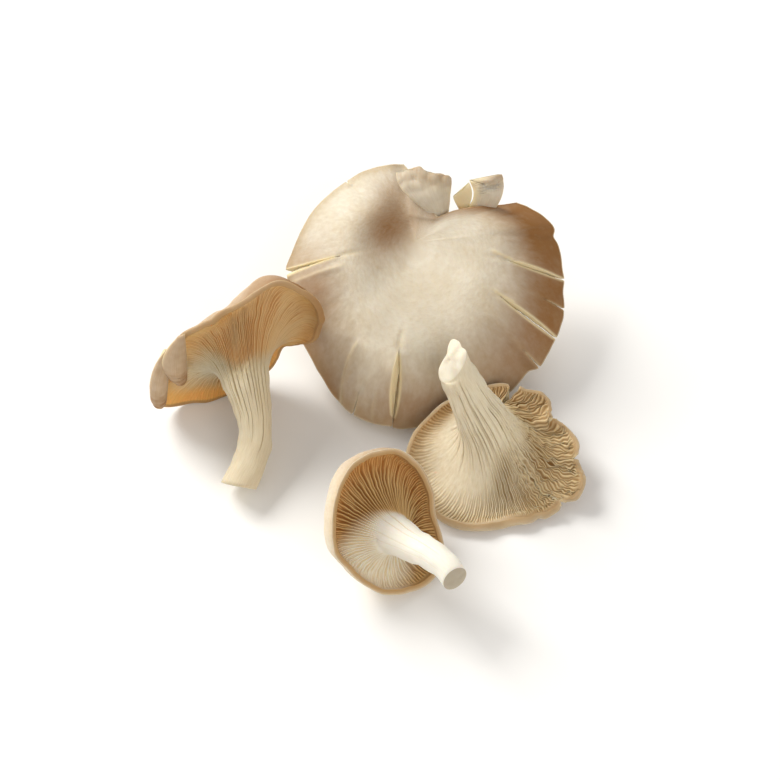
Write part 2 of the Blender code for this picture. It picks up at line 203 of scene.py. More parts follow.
class Ripple:
    """Smooth uneven ups and downs, the sum of sine waves in random directions."""

    def __init__(self, seed: int, size: float, waves: int = 28) -> None:
        """Draw the waves.

        Args:
            seed: Start of the random numbers.
            size: Usual distance from one top to the next.
            waves: How many sine waves are added.
        """
        rng = np.random.default_rng(seed)
        ways = rng.normal(size=(waves, 3))
        ways /= np.linalg.norm(ways, axis=1, keepdims=True)
        self.pull = ways * rng.uniform(0.6, 1.7, (waves, 1)) * 2.0 * math.pi / size
        self.phase = rng.uniform(0.0, 2.0 * math.pi, waves)

    def at(self, points: Array) -> Array:
        """Return the height at each point, mostly between -1 and 1."""
        return np.sin(points @ self.pull.T + self.phase).sum(axis=-1) / math.sqrt(2.0 * len(self.phase))


class Gape(Enum):
    """Shape of a tear's opening."""

    WEDGE = "widest at the rim"
    LENS = "closed again at the rim"


@dataclass(frozen=True)
class Tear:
    """A tear that runs in from the rim.

    Args:
        angle: Where it meets the rim.
        reach: Distance from the cap's middle to its inner end.
        gap: Widest opening in the skin.
        gape: Shape of the opening.
        lifts: Rise of the lip on the side of the smaller angles, and on the other side.
        settle: Distance over which the lips settle into the cap.
        drift: Sideways place of the inner end.
        under: Widest opening on the gill side.
        late: Above 1 the opening is widest near the rim, below 1 near the inner end.
        close: Part of the way to the rim at which a lens has closed again.
    """

    angle: float
    reach: float
    gap: float = 0.8
    gape: Gape = Gape.WEDGE
    lifts: tuple[float, float] = (0.0, 0.0)
    settle: float = 5.0
    drift: float = 0.0
    under: float = 0.4
    late: float = 0.9
    close: float = 1.0

    def width(self, part: Array) -> Array:
        """Work out the width of the opening.

        Args:
            part: Places in the tear, from 0 at its inner end to 1 at the rim.

        Returns:
            The width there, as part of the widest opening.
        """
        if self.gape is Gape.WEDGE:
            return part
        return np.sin(math.pi * np.clip(part / self.close, 0.0, 1.0) ** self.late) ** 0.8


@dataclass(frozen=True)
class Crease:
    """A raised or sunk line in the skin.

    Args:
        start: Place on the cap, seen from above, where it begins.
        end: Where it ends.
        height: Its height.
        width: Half of its width.
        bow: How far its middle stands off the straight line.
        step: How much higher the skin is on its left than on its right, halved.
        pale: How much it looks like torn flesh, from 0 to 1.
    """

    start: tuple[float, float]
    end: tuple[float, float]
    height: float
    width: float
    bow: float = 0.0
    step: float = 0.0
    pale: float = 0.0

    def relief(self, points: Array, layer: Array) -> tuple[Array, Array]:
        """Work out the crease.

        Args:
            points: Points in the cap's frame.
            layer: For each one, 1 on the skin and 0 on the gill side.

        Returns:
            How far each point rises, and how much it looks like torn flesh.
        """
        start = np.array(self.start)
        way = np.array(self.end) - start
        length = float(np.linalg.norm(way))
        way /= length
        x = points[..., 0] - start[0]
        y = points[..., 1] - start[1]
        s = (x * way[0] + y * way[1]) / length
        d = y * way[0] - x * way[1] - self.bow * 4.0 * s * (1.0 - s)
        window = smooth_step(s / 0.18) * smooth_step((1.0 - s) / 0.12) * layer
        step = self.step * np.tanh(d / (0.35 * self.width)) * np.exp(-np.abs(d) / BESIDE)
        return window * (self.height * bell(d / self.width) + step), self.pale * window * bell(d / 0.55)


@dataclass(frozen=True)
class Spot:
    """A place on the cap with browner flesh, painted shade, a hollow, or several of these.

    Args:
        place: Its middle, seen from above.
        size: Half of its length and half of its width.
        brown_and_shade: How much darker and browner it is painted: browning, and painted shade in hollows.
        hollow: Depth of the hollow; a negative one is a bump.
        turn: Angle of its length.
    """

    place: tuple[float, float]
    size: tuple[float, float]
    brown_and_shade: float = 0.0
    hollow: float = 0.0
    turn: float = 0.0

    def cover(self, points: Array) -> Array:
        """Work out where the spot is.

        Args:
            points: Points in the cap's frame.

        Returns:
            How much of the spot is at each point, from 0 to 1.
        """
        x = points[..., 0] - self.place[0]
        y = points[..., 1] - self.place[1]
        c, s = math.cos(math.radians(self.turn)), math.sin(math.radians(self.turn))
        return bell(np.hypot((c * x + s * y) / self.size[0], (c * y - s * x) / self.size[1]))


@dataclass(frozen=True)
class Flesh:
    """Fresh oyster mushroom flesh: matt, slightly moist and a little translucent.

    The skin has fine radial fibrils, the gills are thin blades with painted shade between them, and torn or
    cut flesh is almost white. Water in the flesh gives a broad weak sheen, and light that enters it comes
    out warmer, which softens the thin edges. Painted colours add a glowing tint to thin gills, and painted
    shade to hollows, grooves and sides turned from the light.

    Args:
        skin_pale: The palest skin.
        skin_mid: Usual skin.
        skin_brown_and_shade: Browned skin; the same colour is painted as shade in hollows and on sides turned
            from the light.
        gill_edge: Edge of a gill.
        gill_valley_shade: Painted shade deep between two gills.
        stem_pale: Most of the stem.
        stem_shade: Its stripes.
        stem_groove_shade: Painted shade in its grooves.
        torn: Torn flesh.
        cut: The cut foot.
        painted_glow_and_shade: Painted glowing tint of gills that light shines through; where it is darker
            than the gills it is painted shade.
        margin: The gill side just inside the rim, darker.
    """

    skin_pale: str = "#E6E1D3"
    skin_mid: str = "#C5B598"
    skin_brown_and_shade: str = "#8E6232"
    gill_edge: str = "#DCC9A2"
    gill_valley_shade: str = "#906A3A"
    stem_pale: str = "#EFE8D6"
    stem_shade: str = "#D8CBAA"
    stem_groove_shade: str = "#A08A5C"
    torn: str = "#DFCFA8"
    cut: str = "#DED6C0"
    painted_glow_and_shade: str = "#E0A04A"
    margin: str = "#B08A5C"


def add_node(
    tree: bpy.types.NodeTree, kind: str, settings: dict | None = None, feeds: dict | None = None
) -> Any:
    """Add a node with its settings and what feeds its inputs.

    Args:
        tree: The tree that gets the node.
        kind: The node's type name.
        settings: Properties to set.
        feeds: For each input, by name or number, a value or an output socket.

    Returns:
        The node.
    """
    node = tree.nodes.new(kind)
    for name, value in (settings or {}).items():
        setattr(node, name, value)
    for name, value in (feeds or {}).items():
        if isinstance(value, bpy.types.NodeSocket):
            tree.links.new(value, node.inputs[name])
        else:
            node.inputs[name].default_value = value
    return node


def flesh_material(name: str, flesh: Flesh) -> bpy.types.Material:
    """Make the finish of one mushroom.

    Args:
        name: Name of the material.
        flesh: Its colours.

    Returns:
        The material. It reads the attributes that the mushroom's mesh carries.
    """
    material = bpy.data.materials.new(name)
    material.use_nodes = True
    tree = material.node_tree
    tree.nodes.clear()
    value = {
        key: add_node(tree, "ShaderNodeAttribute", {"attribute_name": key}).outputs["Fac"] for key in MASKS
    }
    grain = add_node(tree, "ShaderNodeAttribute", {"attribute_name": "grain"}).outputs["Vector"]
    place = add_node(tree, "ShaderNodeTexCoord").outputs["Object"]

    # Fibrils are about 0.2 mm wide; drawn near 0.5 mm, because finer ones don't show in the picture.
    # Clouds are patches of about 12 mm, mottles measure about 2.5 mm and pores about 0.7 mm.
    for key, vector, scale, detail, roughness in (
        ("fibrils", grain, 1.0, 4.0, 0.62),
        ("broad", grain, 0.16, 2.0, 0.5),
        ("clouds", place, 85.0, 3.0, 0.55),
        ("mottles", place, 420.0, 3.0, 0.6),
        ("pores", place, 1400.0, 2.0, 0.6),
    ):
        value[key] = add_node(tree, "ShaderNodeTexNoise", None, {
            "Vector": vector, "Scale": scale, "Detail": detail, "Roughness": roughness,
        }).outputs["Fac"]

    # Each row makes a value, held between 0 and 1 or not: another one times a number, plus a third one.
    for key, held, start, factor, more in (
        ("fine", False, "fibrils", 0.36, -0.18),
        ("uneven", False, "broad", 0.1, 0.02),
        ("uneven", False, "mottles", 0.34, "uneven"),
        ("uneven", False, "clouds", 0.7, "uneven"),
        ("uneven", False, "uneven", 1.0, "fine"),
        ("edge", True, "rim", 0.45, "uneven"),
        # Browned skin together with painted shade in hollows and on sides turned from the light.
        ("browning_and_shade", True, "fine", 0.8, "brown_and_shade"),
        # Painted shade: darker deep between the gills, roughened by the fibril noise.
        ("between", True, "fine", 0.5, "valley_shade"),
        ("stripes", True, "fibrils", 1.3, -0.45),
        ("margin", False, "rim", 0.85, 0.0),
        # The gills take the same browning and painted shade, weaker.
        ("gill_brown_and_shade", False, "brown_and_shade", 0.6, 0.0),
        # Painted shade in the stem's grooves.
        ("grooves", False, "valley_shade", 0.7, 0.0),
        ("height", False, "pores", 0.35, "fibrils"),
    ):
        value[key] = add_node(tree, "ShaderNodeMath", {"operation": "MULTIPLY_ADD", "use_clamp": held}, {
            0: value[start], 1: factor, 2: value.get(more, more),
        }).outputs[0]

    # Each row lays a colour over another one, as far as the value says.
    colour = {key: linear(code) for key, code in vars(flesh).items()}
    for key, factor, below, above in (
        # Painted shade: the gills darken between the blades.
        ("gills", "between", "gill_edge", "gill_valley_shade"),
        # Painted glowing tint of thin gills, which is painted shade where its colour is darker.
        ("gills", "painted_glow_and_shade", "gills", "painted_glow_and_shade"),
        ("gills", "margin", "gills", "margin"),
        # Browning and painted shade on the gills.
        ("gills", "gill_brown_and_shade", "gills", "skin_brown_and_shade"),
        ("stem", "stripes", "stem_pale", "stem_shade"),
        # Painted shade in the stem's grooves.
        ("stem", "grooves", "stem", "stem_groove_shade"),
        ("skin", "edge", "skin_pale", "skin_mid"),
        # Browned skin, together with painted shade in hollows and on sides turned from the light.
        ("skin", "browning_and_shade", "skin", "skin_brown_and_shade"),
        ("all", "stem", "gills", "stem"),
        ("all", "skin", "all", "skin"),
        ("all", "torn", "all", "torn"),
        ("all", "foot", "all", "cut"),
    ):
        colour[key] = add_node(tree, "ShaderNodeMix", {"data_type": "RGBA"}, {
            0: value[factor], 6: colour[below], 7: colour[above],
        }).outputs[2]

    bump = add_node(tree, "ShaderNodeBump", None, {
        "Strength": 0.35, "Distance": 0.0003, "Height": value["height"],
    })
    rough = add_node(tree, "ShaderNodeMapRange", None, {
        "Value": value["clouds"], "From Min": 0.3, "From Max": 0.7, "To Min": 0.48, "To Max": 0.66,
    })
    shader = add_node(tree, "ShaderNodeBsdfPrincipled", None, {
        "Base Color": colour["all"], "Roughness": rough.outputs[0], "Normal": bump.outputs[0],
        "IOR": 1.36, "Specular IOR Level": 0.4, "Subsurface Weight": 0.3,
        "Subsurface Radius": (1.0, 0.7, 0.4), "Subsurface Scale": 0.002,
    })
    add_node(tree, "ShaderNodeOutputMaterial", None, {"Surface": shader.outputs[0]})
    return material


def drum(name: str, columns: int, rows: int) -> tuple[bpy.types.Object, Array, Array]:
    """Add a closed drum and cut its side into a grid of points.

    Args:
        name: Name of the new object.
        columns: Faces round it.
        rows: Rings of points between the middles of its ends.

    Returns:
        The object, and the row and the column of each point; row 0 is the middle of the lower end.
    """
    bpy.ops.object.select_all(action="DESELECT")
    bpy.ops.mesh.primitive_cylinder_add(vertices=columns, radius=1.0, depth=2.0, end_fill_type="TRIFAN")
    piece = bpy.context.object
    piece.name = name
    mesh = piece.data
    mesh.name = name
    # The upright edges are cut in two steps, which is much quicker than in one.
    first = next(cuts for cuts in range(int(math.sqrt(rows - 1)), 0, -1) if (rows - 1) % cuts == 0)
    for parts in (first, (rows - 1) // first):
        ends = np.empty(len(mesh.edges) * 2, dtype=np.int32)
        mesh.edges.foreach_get("vertices", ends)
        height = places_of(mesh)[ends.reshape(-1, 2), 2]
        bpy.ops.object.mode_set(mode="EDIT")
        bpy.ops.mesh.select_mode(type="EDGE")
        bpy.ops.mesh.select_all(action="DESELECT")
        bpy.ops.object.mode_set(mode="OBJECT")
        mesh.edges.foreach_set("select", np.abs(height[:, 0] - height[:, 1]) > 0.5 / rows)
        bpy.ops.object.mode_set(mode="EDIT")
        if parts > 1:
            bpy.ops.mesh.subdivide(number_cuts=parts - 1)
        bpy.ops.object.mode_set(mode="OBJECT")
    place = places_of(mesh)
    height = place[:, 2]
    row = 1 + np.rint((height + 1.0) / 2.0 * (rows - 1)).astype(int)
    row[np.hypot(place[:, 0], place[:, 1]) < 0.5] = 0
    row[(row == 0) & (height > 0.0)] = rows + 1
    column = np.rint(np.arctan2(place[:, 1], place[:, 0]) / (2 * math.pi) * columns).astype(int) % columns
    return piece, row, column


def places_of(mesh: bpy.types.Mesh) -> Array:
    """Read the places of a mesh's points.

    Args:
        mesh: The mesh.

    Returns:
        A row of three numbers for each point.
    """
    places = np.empty(len(mesh.vertices) * 3)
    mesh.vertices.foreach_get("co", places)
    return places.reshape(-1, 3)


def fill(
    piece: bpy.types.Object, places: Array, masks: dict[str, Array], material: bpy.types.Material
) -> None:
    """Move the points of a drum to their places, store the masks on them and dress it.

    Args:
        piece: The drum.
        places: One place in metres for each point.
        masks: Values for each point, by name; a value is a number or three numbers.
        material: Its finish.
    """
    mesh = piece.data
    inset = INSET * MM
    places = np.clip(places, np.array(CAD_BOX[0]) + (inset, inset, 0.0), np.array(CAD_BOX[1]) - inset)
    mesh.vertices.foreach_set("co", places.ravel())
    for name, values in masks.items():
        kind, field = ("FLOAT_VECTOR", "vector") if values.ndim == 2 else ("FLOAT", "value")
        layer = mesh.attributes.new(name, kind, "POINT")
        layer.data.foreach_set(field, np.ascontiguousarray(values, dtype=np.float32).ravel())
    mesh.update()
    bpy.ops.object.select_all(action="DESELECT")
    piece.select_set(True)
    bpy.context.view_layer.objects.active = piece
    bpy.ops.object.mode_set(mode="EDIT")
    bpy.ops.mesh.select_all(action="SELECT")
    bpy.ops.mesh.normals_make_consistent(inside=False)
    bpy.ops.object.mode_set(mode="OBJECT")
    bpy.ops.object.shade_smooth()
    if signed_volume(mesh) < 0.0:
        mesh.flip_normals()
    mesh.materials.clear()
    mesh.materials.append(material)


def signed_volume(mesh: bpy.types.Mesh) -> float:
    """Work out the volume inside a closed mesh.

    Args:
        mesh: The mesh.

    Returns:
        The volume, negative where its faces look inwards.
    """
    mesh.calc_loop_triangles()
    corners = np.empty(len(mesh.loop_triangles) * 3, dtype=np.int32)
    mesh.loop_triangles.foreach_get("vertices", corners)
    a, b, c = np.moveaxis(places_of(mesh)[corners.reshape(-1, 3)], 1, 0)
    return float((a * np.cross(b, c)).sum() / 6.0)


@dataclass
class Flap:
    """A torn or rolled piece of a cap's margin, with rounded edges.

    Args:
        name: Name of the piece.
        left: Four points of the curve along its left edge, from its root to its tip.
        right: The same for its right edge.
        thick: Thickness in its middle.
        bulge: Rise of the middle line above the two edges.
        tip: How far the middle of the tip stands out beyond its corners.
        crinkle: Height of the waves along its tip.
        seed: Start of the random numbers.
        brown_and_shade: Browning at its tip; across the flap it grows towards the right edge as painted
            shade.
        pale: Width of the torn, pale left edge as a part of the flap.
        lines: Height of the folds that run across it near its tip.
    """

    name: str
    left: tuple[Triple, Triple, Triple, Triple]
    right: tuple[Triple, Triple, Triple, Triple]
    thick: float = 1.6
    bulge: float = 1.0
    tip: float = 1.0
    crinkle: float = 0.5
    seed: int = 1
    brown_and_shade: float = 0.3
    pale: float = 0.0
    lines: float = 0.0

    COLUMNS = 120
    ROWS = 70
    NUDGE = 0.01                     # step along the surface that gives its slope
    BLUNT = 0.45                     # below 1 the two edges are blunter than a circle
    BLUNT_TIP = 12                   # the higher, the blunter the tip
    ROOT = 0.04                      # part of the length over which the root closes
    FOLD = 0.075                     # distance from one fold to the next, as part of the length
    TORN_SIDE = 0.06                 # width of the torn edges, as part of the flap

    def sheet(self, u: Array, v: Array) -> Array:
        """Work out the flap's middle surface.

        Args:
            u: Places across it, from 0 at its left edge to 1.
            v: Places along it, from 0 at its root to 1.

        Returns:
            The points there, in the frame of the cap.
        """
        left = bezier([np.array(p) for p in self.left], v[..., None])
        right = bezier([np.array(p) for p in self.right], v[..., None])
        across = right - left
        along = 0.5 * (np.array(self.left[3]) + self.right[3] - np.array(self.left[2]) - self.right[2])
        up = unit(np.cross(np.array(self.right[1]) - self.left[1], along))
        place = left + u[..., None] * across
        hump = 4.0 * u * (1.0 - u)
        place = place + (self.bulge * hump * smooth_step(v / 0.5))[..., None] * up
        place = place + (self.tip * hump * v**3)[..., None] * unit(along)
        waves = Ripple(self.seed, 5.5).at(place) * self.crinkle * smooth_step((v - 0.35) / 0.65)
        lines = self.lines * np.sin(2.0 * math.pi * v / self.FOLD + 3.0 * u) * smooth_step((v - 0.5) / 0.3)
        waves = waves + lines * hump
        notches = Ripple(self.seed + 1, 4.0).at(place) * self.crinkle * smooth_step((v - 0.7) / 0.3)
        return place + waves[..., None] * up + notches[..., None] * unit(along)

    def build(self, axes: Array, apex: Array, material: bpy.types.Material) -> bpy.types.Object:
        """Make the flap.

        Args:
            axes: The cap's axes as rows.
            apex: The middle of the cap.
            material: Its finish.

        Returns:
            The finished piece.
        """
        piece, row, column = drum(self.name, self.COLUMNS, self.ROWS)
        v = row / (self.ROWS + 1)
        turn = column / self.COLUMNS * 2.0 * math.pi
        u = 0.5 - 0.5 * np.cos(turn)
        middle = self.sheet(u, v)
        ahead = self.sheet(u, np.clip(v + self.NUDGE, 0, 1)) - self.sheet(u, np.clip(v - self.NUDGE, 0, 1))
        beside = self.sheet(np.clip(u + self.NUDGE, 0, 1), v) - self.sheet(np.clip(u - self.NUDGE, 0, 1), v)
        normal = np.cross(beside, ahead)
        normal /= np.maximum(np.linalg.norm(normal, axis=1, keepdims=True), SMALLEST)
        ends = np.sqrt(np.clip(1.0 - v**self.BLUNT_TIP, 0.0, 1.0)) * np.sqrt(np.clip(v / self.ROOT, 0.0, 1.0))
        half = 0.5 * self.thick * np.sign(np.sin(turn)) * np.abs(np.sin(turn)) ** self.BLUNT * ends
        local = middle + half[:, None] * normal
        tip = smooth_step((v - 0.55) / 0.45)
        sides = np.maximum(bell((u - 1.0) / self.TORN_SIDE), bell(u / self.TORN_SIDE))
        torn = 0.55 * sides * (1.0 - tip) + (1.0 - smooth_step(u / max(self.pale, 0.01)))
        # Painted shade: the flap gets browner towards its right edge, as a rolled piece turned from the
        # light, with random patches on top.
        patches_and_shade = 0.55 + 0.5 * u + 0.25 * Ripple(self.seed, 3.0).at(middle)
        nought = np.zeros(len(v))
        # The fibrils run along the flap: it is 26 units wide and 2 long in the space of their pattern.
        masks = dict.fromkeys(MASKS, nought) | {
            "skin": nought + 1.0,
            "rim": 0.3 * tip,
            "torn": np.clip(torn, 0.0, 1.0),
            "brown_and_shade": self.brown_and_shade * (0.3 + 0.7 * tip) * patches_and_shade,
            "grain": np.stack([u * 26.0, v * 2.0, nought + self.seed * 7.0], axis=1),
        }
        fill(piece, (local @ axes + apex + SHIFT) * MM, masks, material)
        return piece


@dataclass
class Mushroom:
    """One mushroom: its sizes, and how its mesh is made from them.

    Args:
        name: Name of the piece, and the start of its finish's name.
        node: The solid in the frame that it replaces.
        apex: Middle of the cap's skin, in the frame of the cluster.
        facing: Way in which the skin looks there.
        rim: Rows of an angle, the radius and the drop towards the gills.
        margin: Rows of an angle and the slope of the skin at the rim.
        edge: Rows of an angle and half of the thickness at the rim.
        stem: Rows of x, y, z and radius from the foot to the throat.
        cut: Way in which the cut foot looks.
        depth: Height of the gills.
        flare: Pull of the stem on the gills, as part of their length.
        sweep: Pull of the rim on the gills, as part of their length.
        flesh: Its colours.
        right: Direction of angle 0 on the cap.
        crown: Rows of an angle and the rise of the skin half way out.
        seed: Start of the random numbers.
        waves: Rows of how many waves run round the cap, their height and their start.
        torn: Rows of an angle and how far out the cap goes where its rim is torn off.
        tears: The tears that run in from the rim.
        creases: The raised and sunk lines in the skin.
        spots: The places that are browner, painted darker as shade, or hollow.
        flaps: The torn or rolled pieces of the margin.
        band: Rows of an angle and the width of the band without gills, as part of their length.
        ruffle: Rows of an angle and the height of the uneven waves near the rim.
        decurrent: Depth of the grooves that run down the stem.
        rim_brown_and_shade: Rows of an angle and how much browner the skin is towards the rim; on the sides
            turned from the light this is painted shade.
        painted_glow_and_shade: Rows of an angle and how strongly a glowing tint is painted on the gills near
            the rim: painted light where it is paler, painted shade where it is darker than the gills.
        glow_start: Where that begins, as part of the gills' length.
        foot_shape: Rows of an angle and the foot's radius as part of the round one.
        foot_bulge: How far the cut foot swells.
        lumps: Height of the cap's broad unevenness.
        rough_rim: Depth of the small notches in the rim.
        soften: How widely the corners of the rim are rounded.
        white: Rows of an angle and how far the stem's colour runs out on the gills.
        gill_start: Rows of an angle and where the gills begin, as part of their length.
        wavy: Rows of an angle and how far the gills sway sideways.
        crumbs: Rows of an angle and a place along the gills, the spread of both, and the height of the
            crumbled flesh there.
        grooves: How many grooves run down the stem.
        per_gill: Columns of the mesh for each gill.
    """

    name: str
    node: str
    apex: Triple
    facing: Triple
    rim: tuple
    margin: tuple
    edge: tuple
    stem: tuple
    cut: Triple
    depth: float
    flare: float
    sweep: float
    flesh: Flesh
    right: Triple = (1.0, 0.0, 0.0)
    crown: tuple = ((0, 0.0),)
    seed: int = 1
    waves: tuple = ()
    torn: tuple = ()
    tears: tuple[Tear, ...] = ()
    creases: tuple[Crease, ...] = ()
    spots: tuple[Spot, ...] = ()
    flaps: tuple[Flap, ...] = ()
    band: tuple = ((0, 0.05),)
    ruffle: tuple = ((0, 0.0),)
    decurrent: float = 0.5
    rim_brown_and_shade: tuple = ((0, 0.0),)
    painted_glow_and_shade: tuple = ((0, 0.0),)
    glow_start: float = 0.45
    foot_shape: tuple = ((0, 1.0),)
    foot_bulge: float = 0.4
    lumps: float = 0.25
    rough_rim: float = 0.5
    soften: float = 1.5
    white: tuple = ((0, 0.35),)
    gill_start: tuple = ((0, 0.0),)
    wavy: tuple = ((0, 0.2),)
    crumbs: tuple = ()
    grooves: int = 30
    per_gill: int = 8

    FOOT_FADE = 0.22                 # part of the stem over which the foot's own form fades
    CUT_FADE = 0.25                  # the same for the way in which the cut looks
    SKIN_PULL = 0.38                 # pull of the rim on the skin, as part of the radius
    TORN_BULGE = 0.15                # roundness of a tear's wall
    TORN_THICK = 2.6                 # thickness that is left where the rim is torn off
    THINNING = 8.0                   # distance over which the cap gets that thin
    AHEAD = 14.0                     # distance ahead of a tear's inner end over which the skin gives way
    LINE_AHEAD = 12.0                # length of the sunk line ahead of a tear
    LINE = 0.45                      # half of the width of a tear's pale line
    FULL_GILL = 0.17                 # half of the width of a full gill, as part of the space for one
    SHORT_GILL = 0.14                # the same for a short gill
    STEEPEST = 0.95                  # height of a gill, at most, as part of the space for it
    SUNK = 0.35                      # part of a gill's height by which the space between two is sunk
    FIBRILS_ROUND = 22.0             # radius of the ring in the pattern's space that sets how many fibrils
    FIBRIL_STEP = 0.3                # run round the cap, and the step in it from one row to the next

    def __post_init__(self) -> None:
        """Work out the cap's axes and the angle of every column."""
        z = unit(self.facing)
        x = np.asarray(self.right, dtype=float)
        x = unit(x - x.dot(z) * z)
        self.axes = np.array([x, np.cross(z, x), z])
        plain = COLUMNS - MOUTH_COLUMNS * len(self.tears)
        step = 360.0 / plain
        columns = [(k * step, k, -1, 1.0) for k in range(plain)]
        self.tear_angles = []
        for index, each in enumerate(self.tears):
            near = math.floor((each.angle % 360.0) / step)
            middle = (near + 0.5) * step
            self.tear_angles.append(middle)
            for part in np.linspace(-1.0, 1.0, MOUTH_COLUMNS):
                columns.append((middle + part * MOUTH, near, index, part))
        self.angle, number, self.tear, self.place = np.array(sorted(columns)).T
        self.phase = number % self.per_gill / self.per_gill
        self.gill = (number // self.per_gill).astype(int)
        radians = np.radians(self.angle)
        self.spoke = np.stack([np.cos(radians), np.sin(radians), np.zeros(COLUMNS)], axis=1)
        self.radius = self.softened(self.rim, 1)
        notches = Ripple(self.seed + 2, 9.0).at(self.spoke * self.radius[:, None])
        self.radius -= self.rough_rim * (0.5 + 0.5 * notches)
        self.reach = self.radius.copy()
        if self.torn:
            self.reach = np.minimum(self.reach, round_curve(self.torn, 1, self.angle))
        for index, each in enumerate(self.tears):
            inside = self.tear == index
            left = each.reach + (self.radius - each.reach) * np.abs(self.place)
            self.reach = np.where(inside, np.minimum(self.reach, left), self.reach)

    def around(self, table: tuple) -> Array:
        """Return a closed curve's value at every column, as one column of numbers."""
        return round_curve(table, 1, self.angle)[:, None]

    def softened(self, table: tuple, column: int) -> Array:
        """Read a closed curve at every column, with its corners rounded.

        Args:
            table: Rows whose first entry is the angle.
            column: Which entry of each row to read.

        Returns:
            One value for each column.
        """
        turns = np.linspace(-2.0, 2.0, 9)
        values = [round_curve(table, column, self.angle + turn * self.soften) for turn in turns]
        return np.average(values, axis=0, weights=bell(turns))

    def stem_rings(self) -> tuple[Array, Array]:
        """Work out the stem.

        Returns:
            Its rings by column and row, with the throat last, and its direction there.
        """
        path = np.asarray(self.stem, dtype=float)
        steps = np.linalg.norm(np.diff(path[:, :3], axis=0), axis=1)
        length = np.concatenate([[0.0], np.cumsum(steps)])
        length /= length[-1]
        slopes = np.gradient(path, length, axis=0)
        shape = round_curve(self.foot_shape, 1, self.angle)
        rings = []
        for part in [*STEM_PARTS, 1.0]:
            k = min(int(np.searchsorted(length, part, side="right")) - 1, len(path) - 2)
            width = length[k + 1] - length[k]
            t = (part - length[k]) / width
            centre = hermite(t, width, (path[k], path[k + 1]), (slopes[k], slopes[k + 1]))
            tangent = (
                (6 * t**2 - 6 * t) * (path[k] - path[k + 1]) / width
                + (3 * t**2 - 4 * t + 1) * slopes[k]
                + (3 * t**2 - 2 * t) * slopes[k + 1]
            )
            direction = unit(tangent[:3])
            turn = np.array(Vector(self.axes[2]).rotation_difference(Vector(direction)).to_matrix())
            out = self.spoke @ (self.axes @ turn.T)
            out *= centre[3] * (1.0 + (shape - 1.0) * (1.0 - smooth_step(part / self.FOOT_FADE)))[:, None]
            flat = 1.0 - smooth_step(part / self.CUT_FADE)
            plane = unit(flat * -unit(self.cut) + (1.0 - flat) * direction)
            slide = -(out @ plane) / direction.dot(plane)
            rings.append(centre[:3] + out + slide[:, None] * direction)
        return np.stack(rings, axis=1), direction

    def shortened(self, curves: Array, edge_out: Array, parts: Array) -> Array:
        """Read each profile at parts of its length, as far as the torn rim leaves it.

        Args:
            curves: One profile for each column.
            edge_out: Distance of each profile's outer end from the cap's middle.
            parts: Where to read them.

        Returns:
            Points by column and row.
        """
        out = np.hypot(curves[..., 0], curves[..., 1])
        t = np.linspace(0.0, 1.0, curves.shape[1])
        rows = np.empty((COLUMNS, len(parts), 3))
        for k in range(COLUMNS):
            share = self.reach[k] / self.radius[k]
            climbing = np.maximum.accumulate(out[k])
            last = 1.0 if share >= 1.0 else float(np.interp(share * edge_out[k], climbing, t))
            if self.tear[k] < 0:
                at = parts * last
            else:
                kept = 0.95 * last
                at = np.minimum(parts, kept) + np.clip(parts - kept, 0.0, None) * (last - kept) / (1.0 - kept)
            for axis in range(3):
                rows[k, :, axis] = np.interp(at, t, curves[k, :, axis])
        return rows

    def profiles(self, ring: Array, direction: Array) -> Array:
        """Work out the cap before it is bent.

        Args:
            ring: The throat of the stem, in the frame of the cluster.
            direction: The stem's direction there.

        Returns:
            Gill, rim and skin rows by column, in the cap's frame.
        """
        slope = np.radians(self.around(self.margin))
        drop = self.softened(self.rim, 2)
        up = np.array([0.0, 0.0, 1.0])
        t = np.linspace(0.0, 1.0, PROFILE_SAMPLES)[None, :, None]
        inward = -np.cos(slope) * self.spoke + np.sin(slope) * up
        outside = np.sin(slope) * self.spoke + np.cos(slope) * up
        edge = self.around(self.edge)
        tip = (self.radius[:, None] - edge * (1.0 + np.sin(slope))) * self.spoke - drop[:, None] * up
        skin_edge = tip + edge * outside
        gill_edge = tip - edge * outside
        throat = (ring - np.asarray(self.apex)) @ self.axes.T
        up_stem = self.axes @ direction
        gap = np.linalg.norm(gill_edge - throat, axis=1)[:, None]
        handle = self.SKIN_PULL * self.radius[:, None] * inward
        skin = bezier([
            np.zeros((COLUMNS, 1, 3)),
            (0.5 * self.radius[:, None] * self.spoke)[:, None],
            (skin_edge + handle)[:, None],
            skin_edge[:, None],
        ], t)
        gills = bezier([
            throat[:, None],
            (throat + self.flare * gap * up_stem)[:, None],
            (gill_edge + self.sweep * gap * inward)[:, None],
            gill_edge[:, None],
        ], t)
        skin = self.shortened(skin, np.linalg.norm(skin_edge[:, :2], axis=1), SKIN_PARTS)
        gills = self.shortened(gills, np.linalg.norm(gill_edge[:, :2], axis=1), GILL_PARTS)
        self.thin(gills, skin)
        low = gills[:, -1]
        high = skin[:, 0]
        centre = 0.5 * (low + high)
        half = 0.5 * (high - low)
        tangent = np.cross(up, self.spoke)
        out = np.where(self.tear[:, None] < 0, self.spoke, -np.sign(self.place)[:, None] * tangent)
        bulge = np.where(self.tear[:, None] < 0, edge, self.TORN_BULGE)
        bulge = np.minimum(bulge, 0.7 * np.linalg.norm(half, axis=1, keepdims=True) + 0.2)
        rim = [centre + math.sin(turn) * half + math.cos(turn) * bulge * out for turn in RIM_TURNS]
        return np.concatenate([gills, np.stack(rim, axis=1), skin], axis=1)

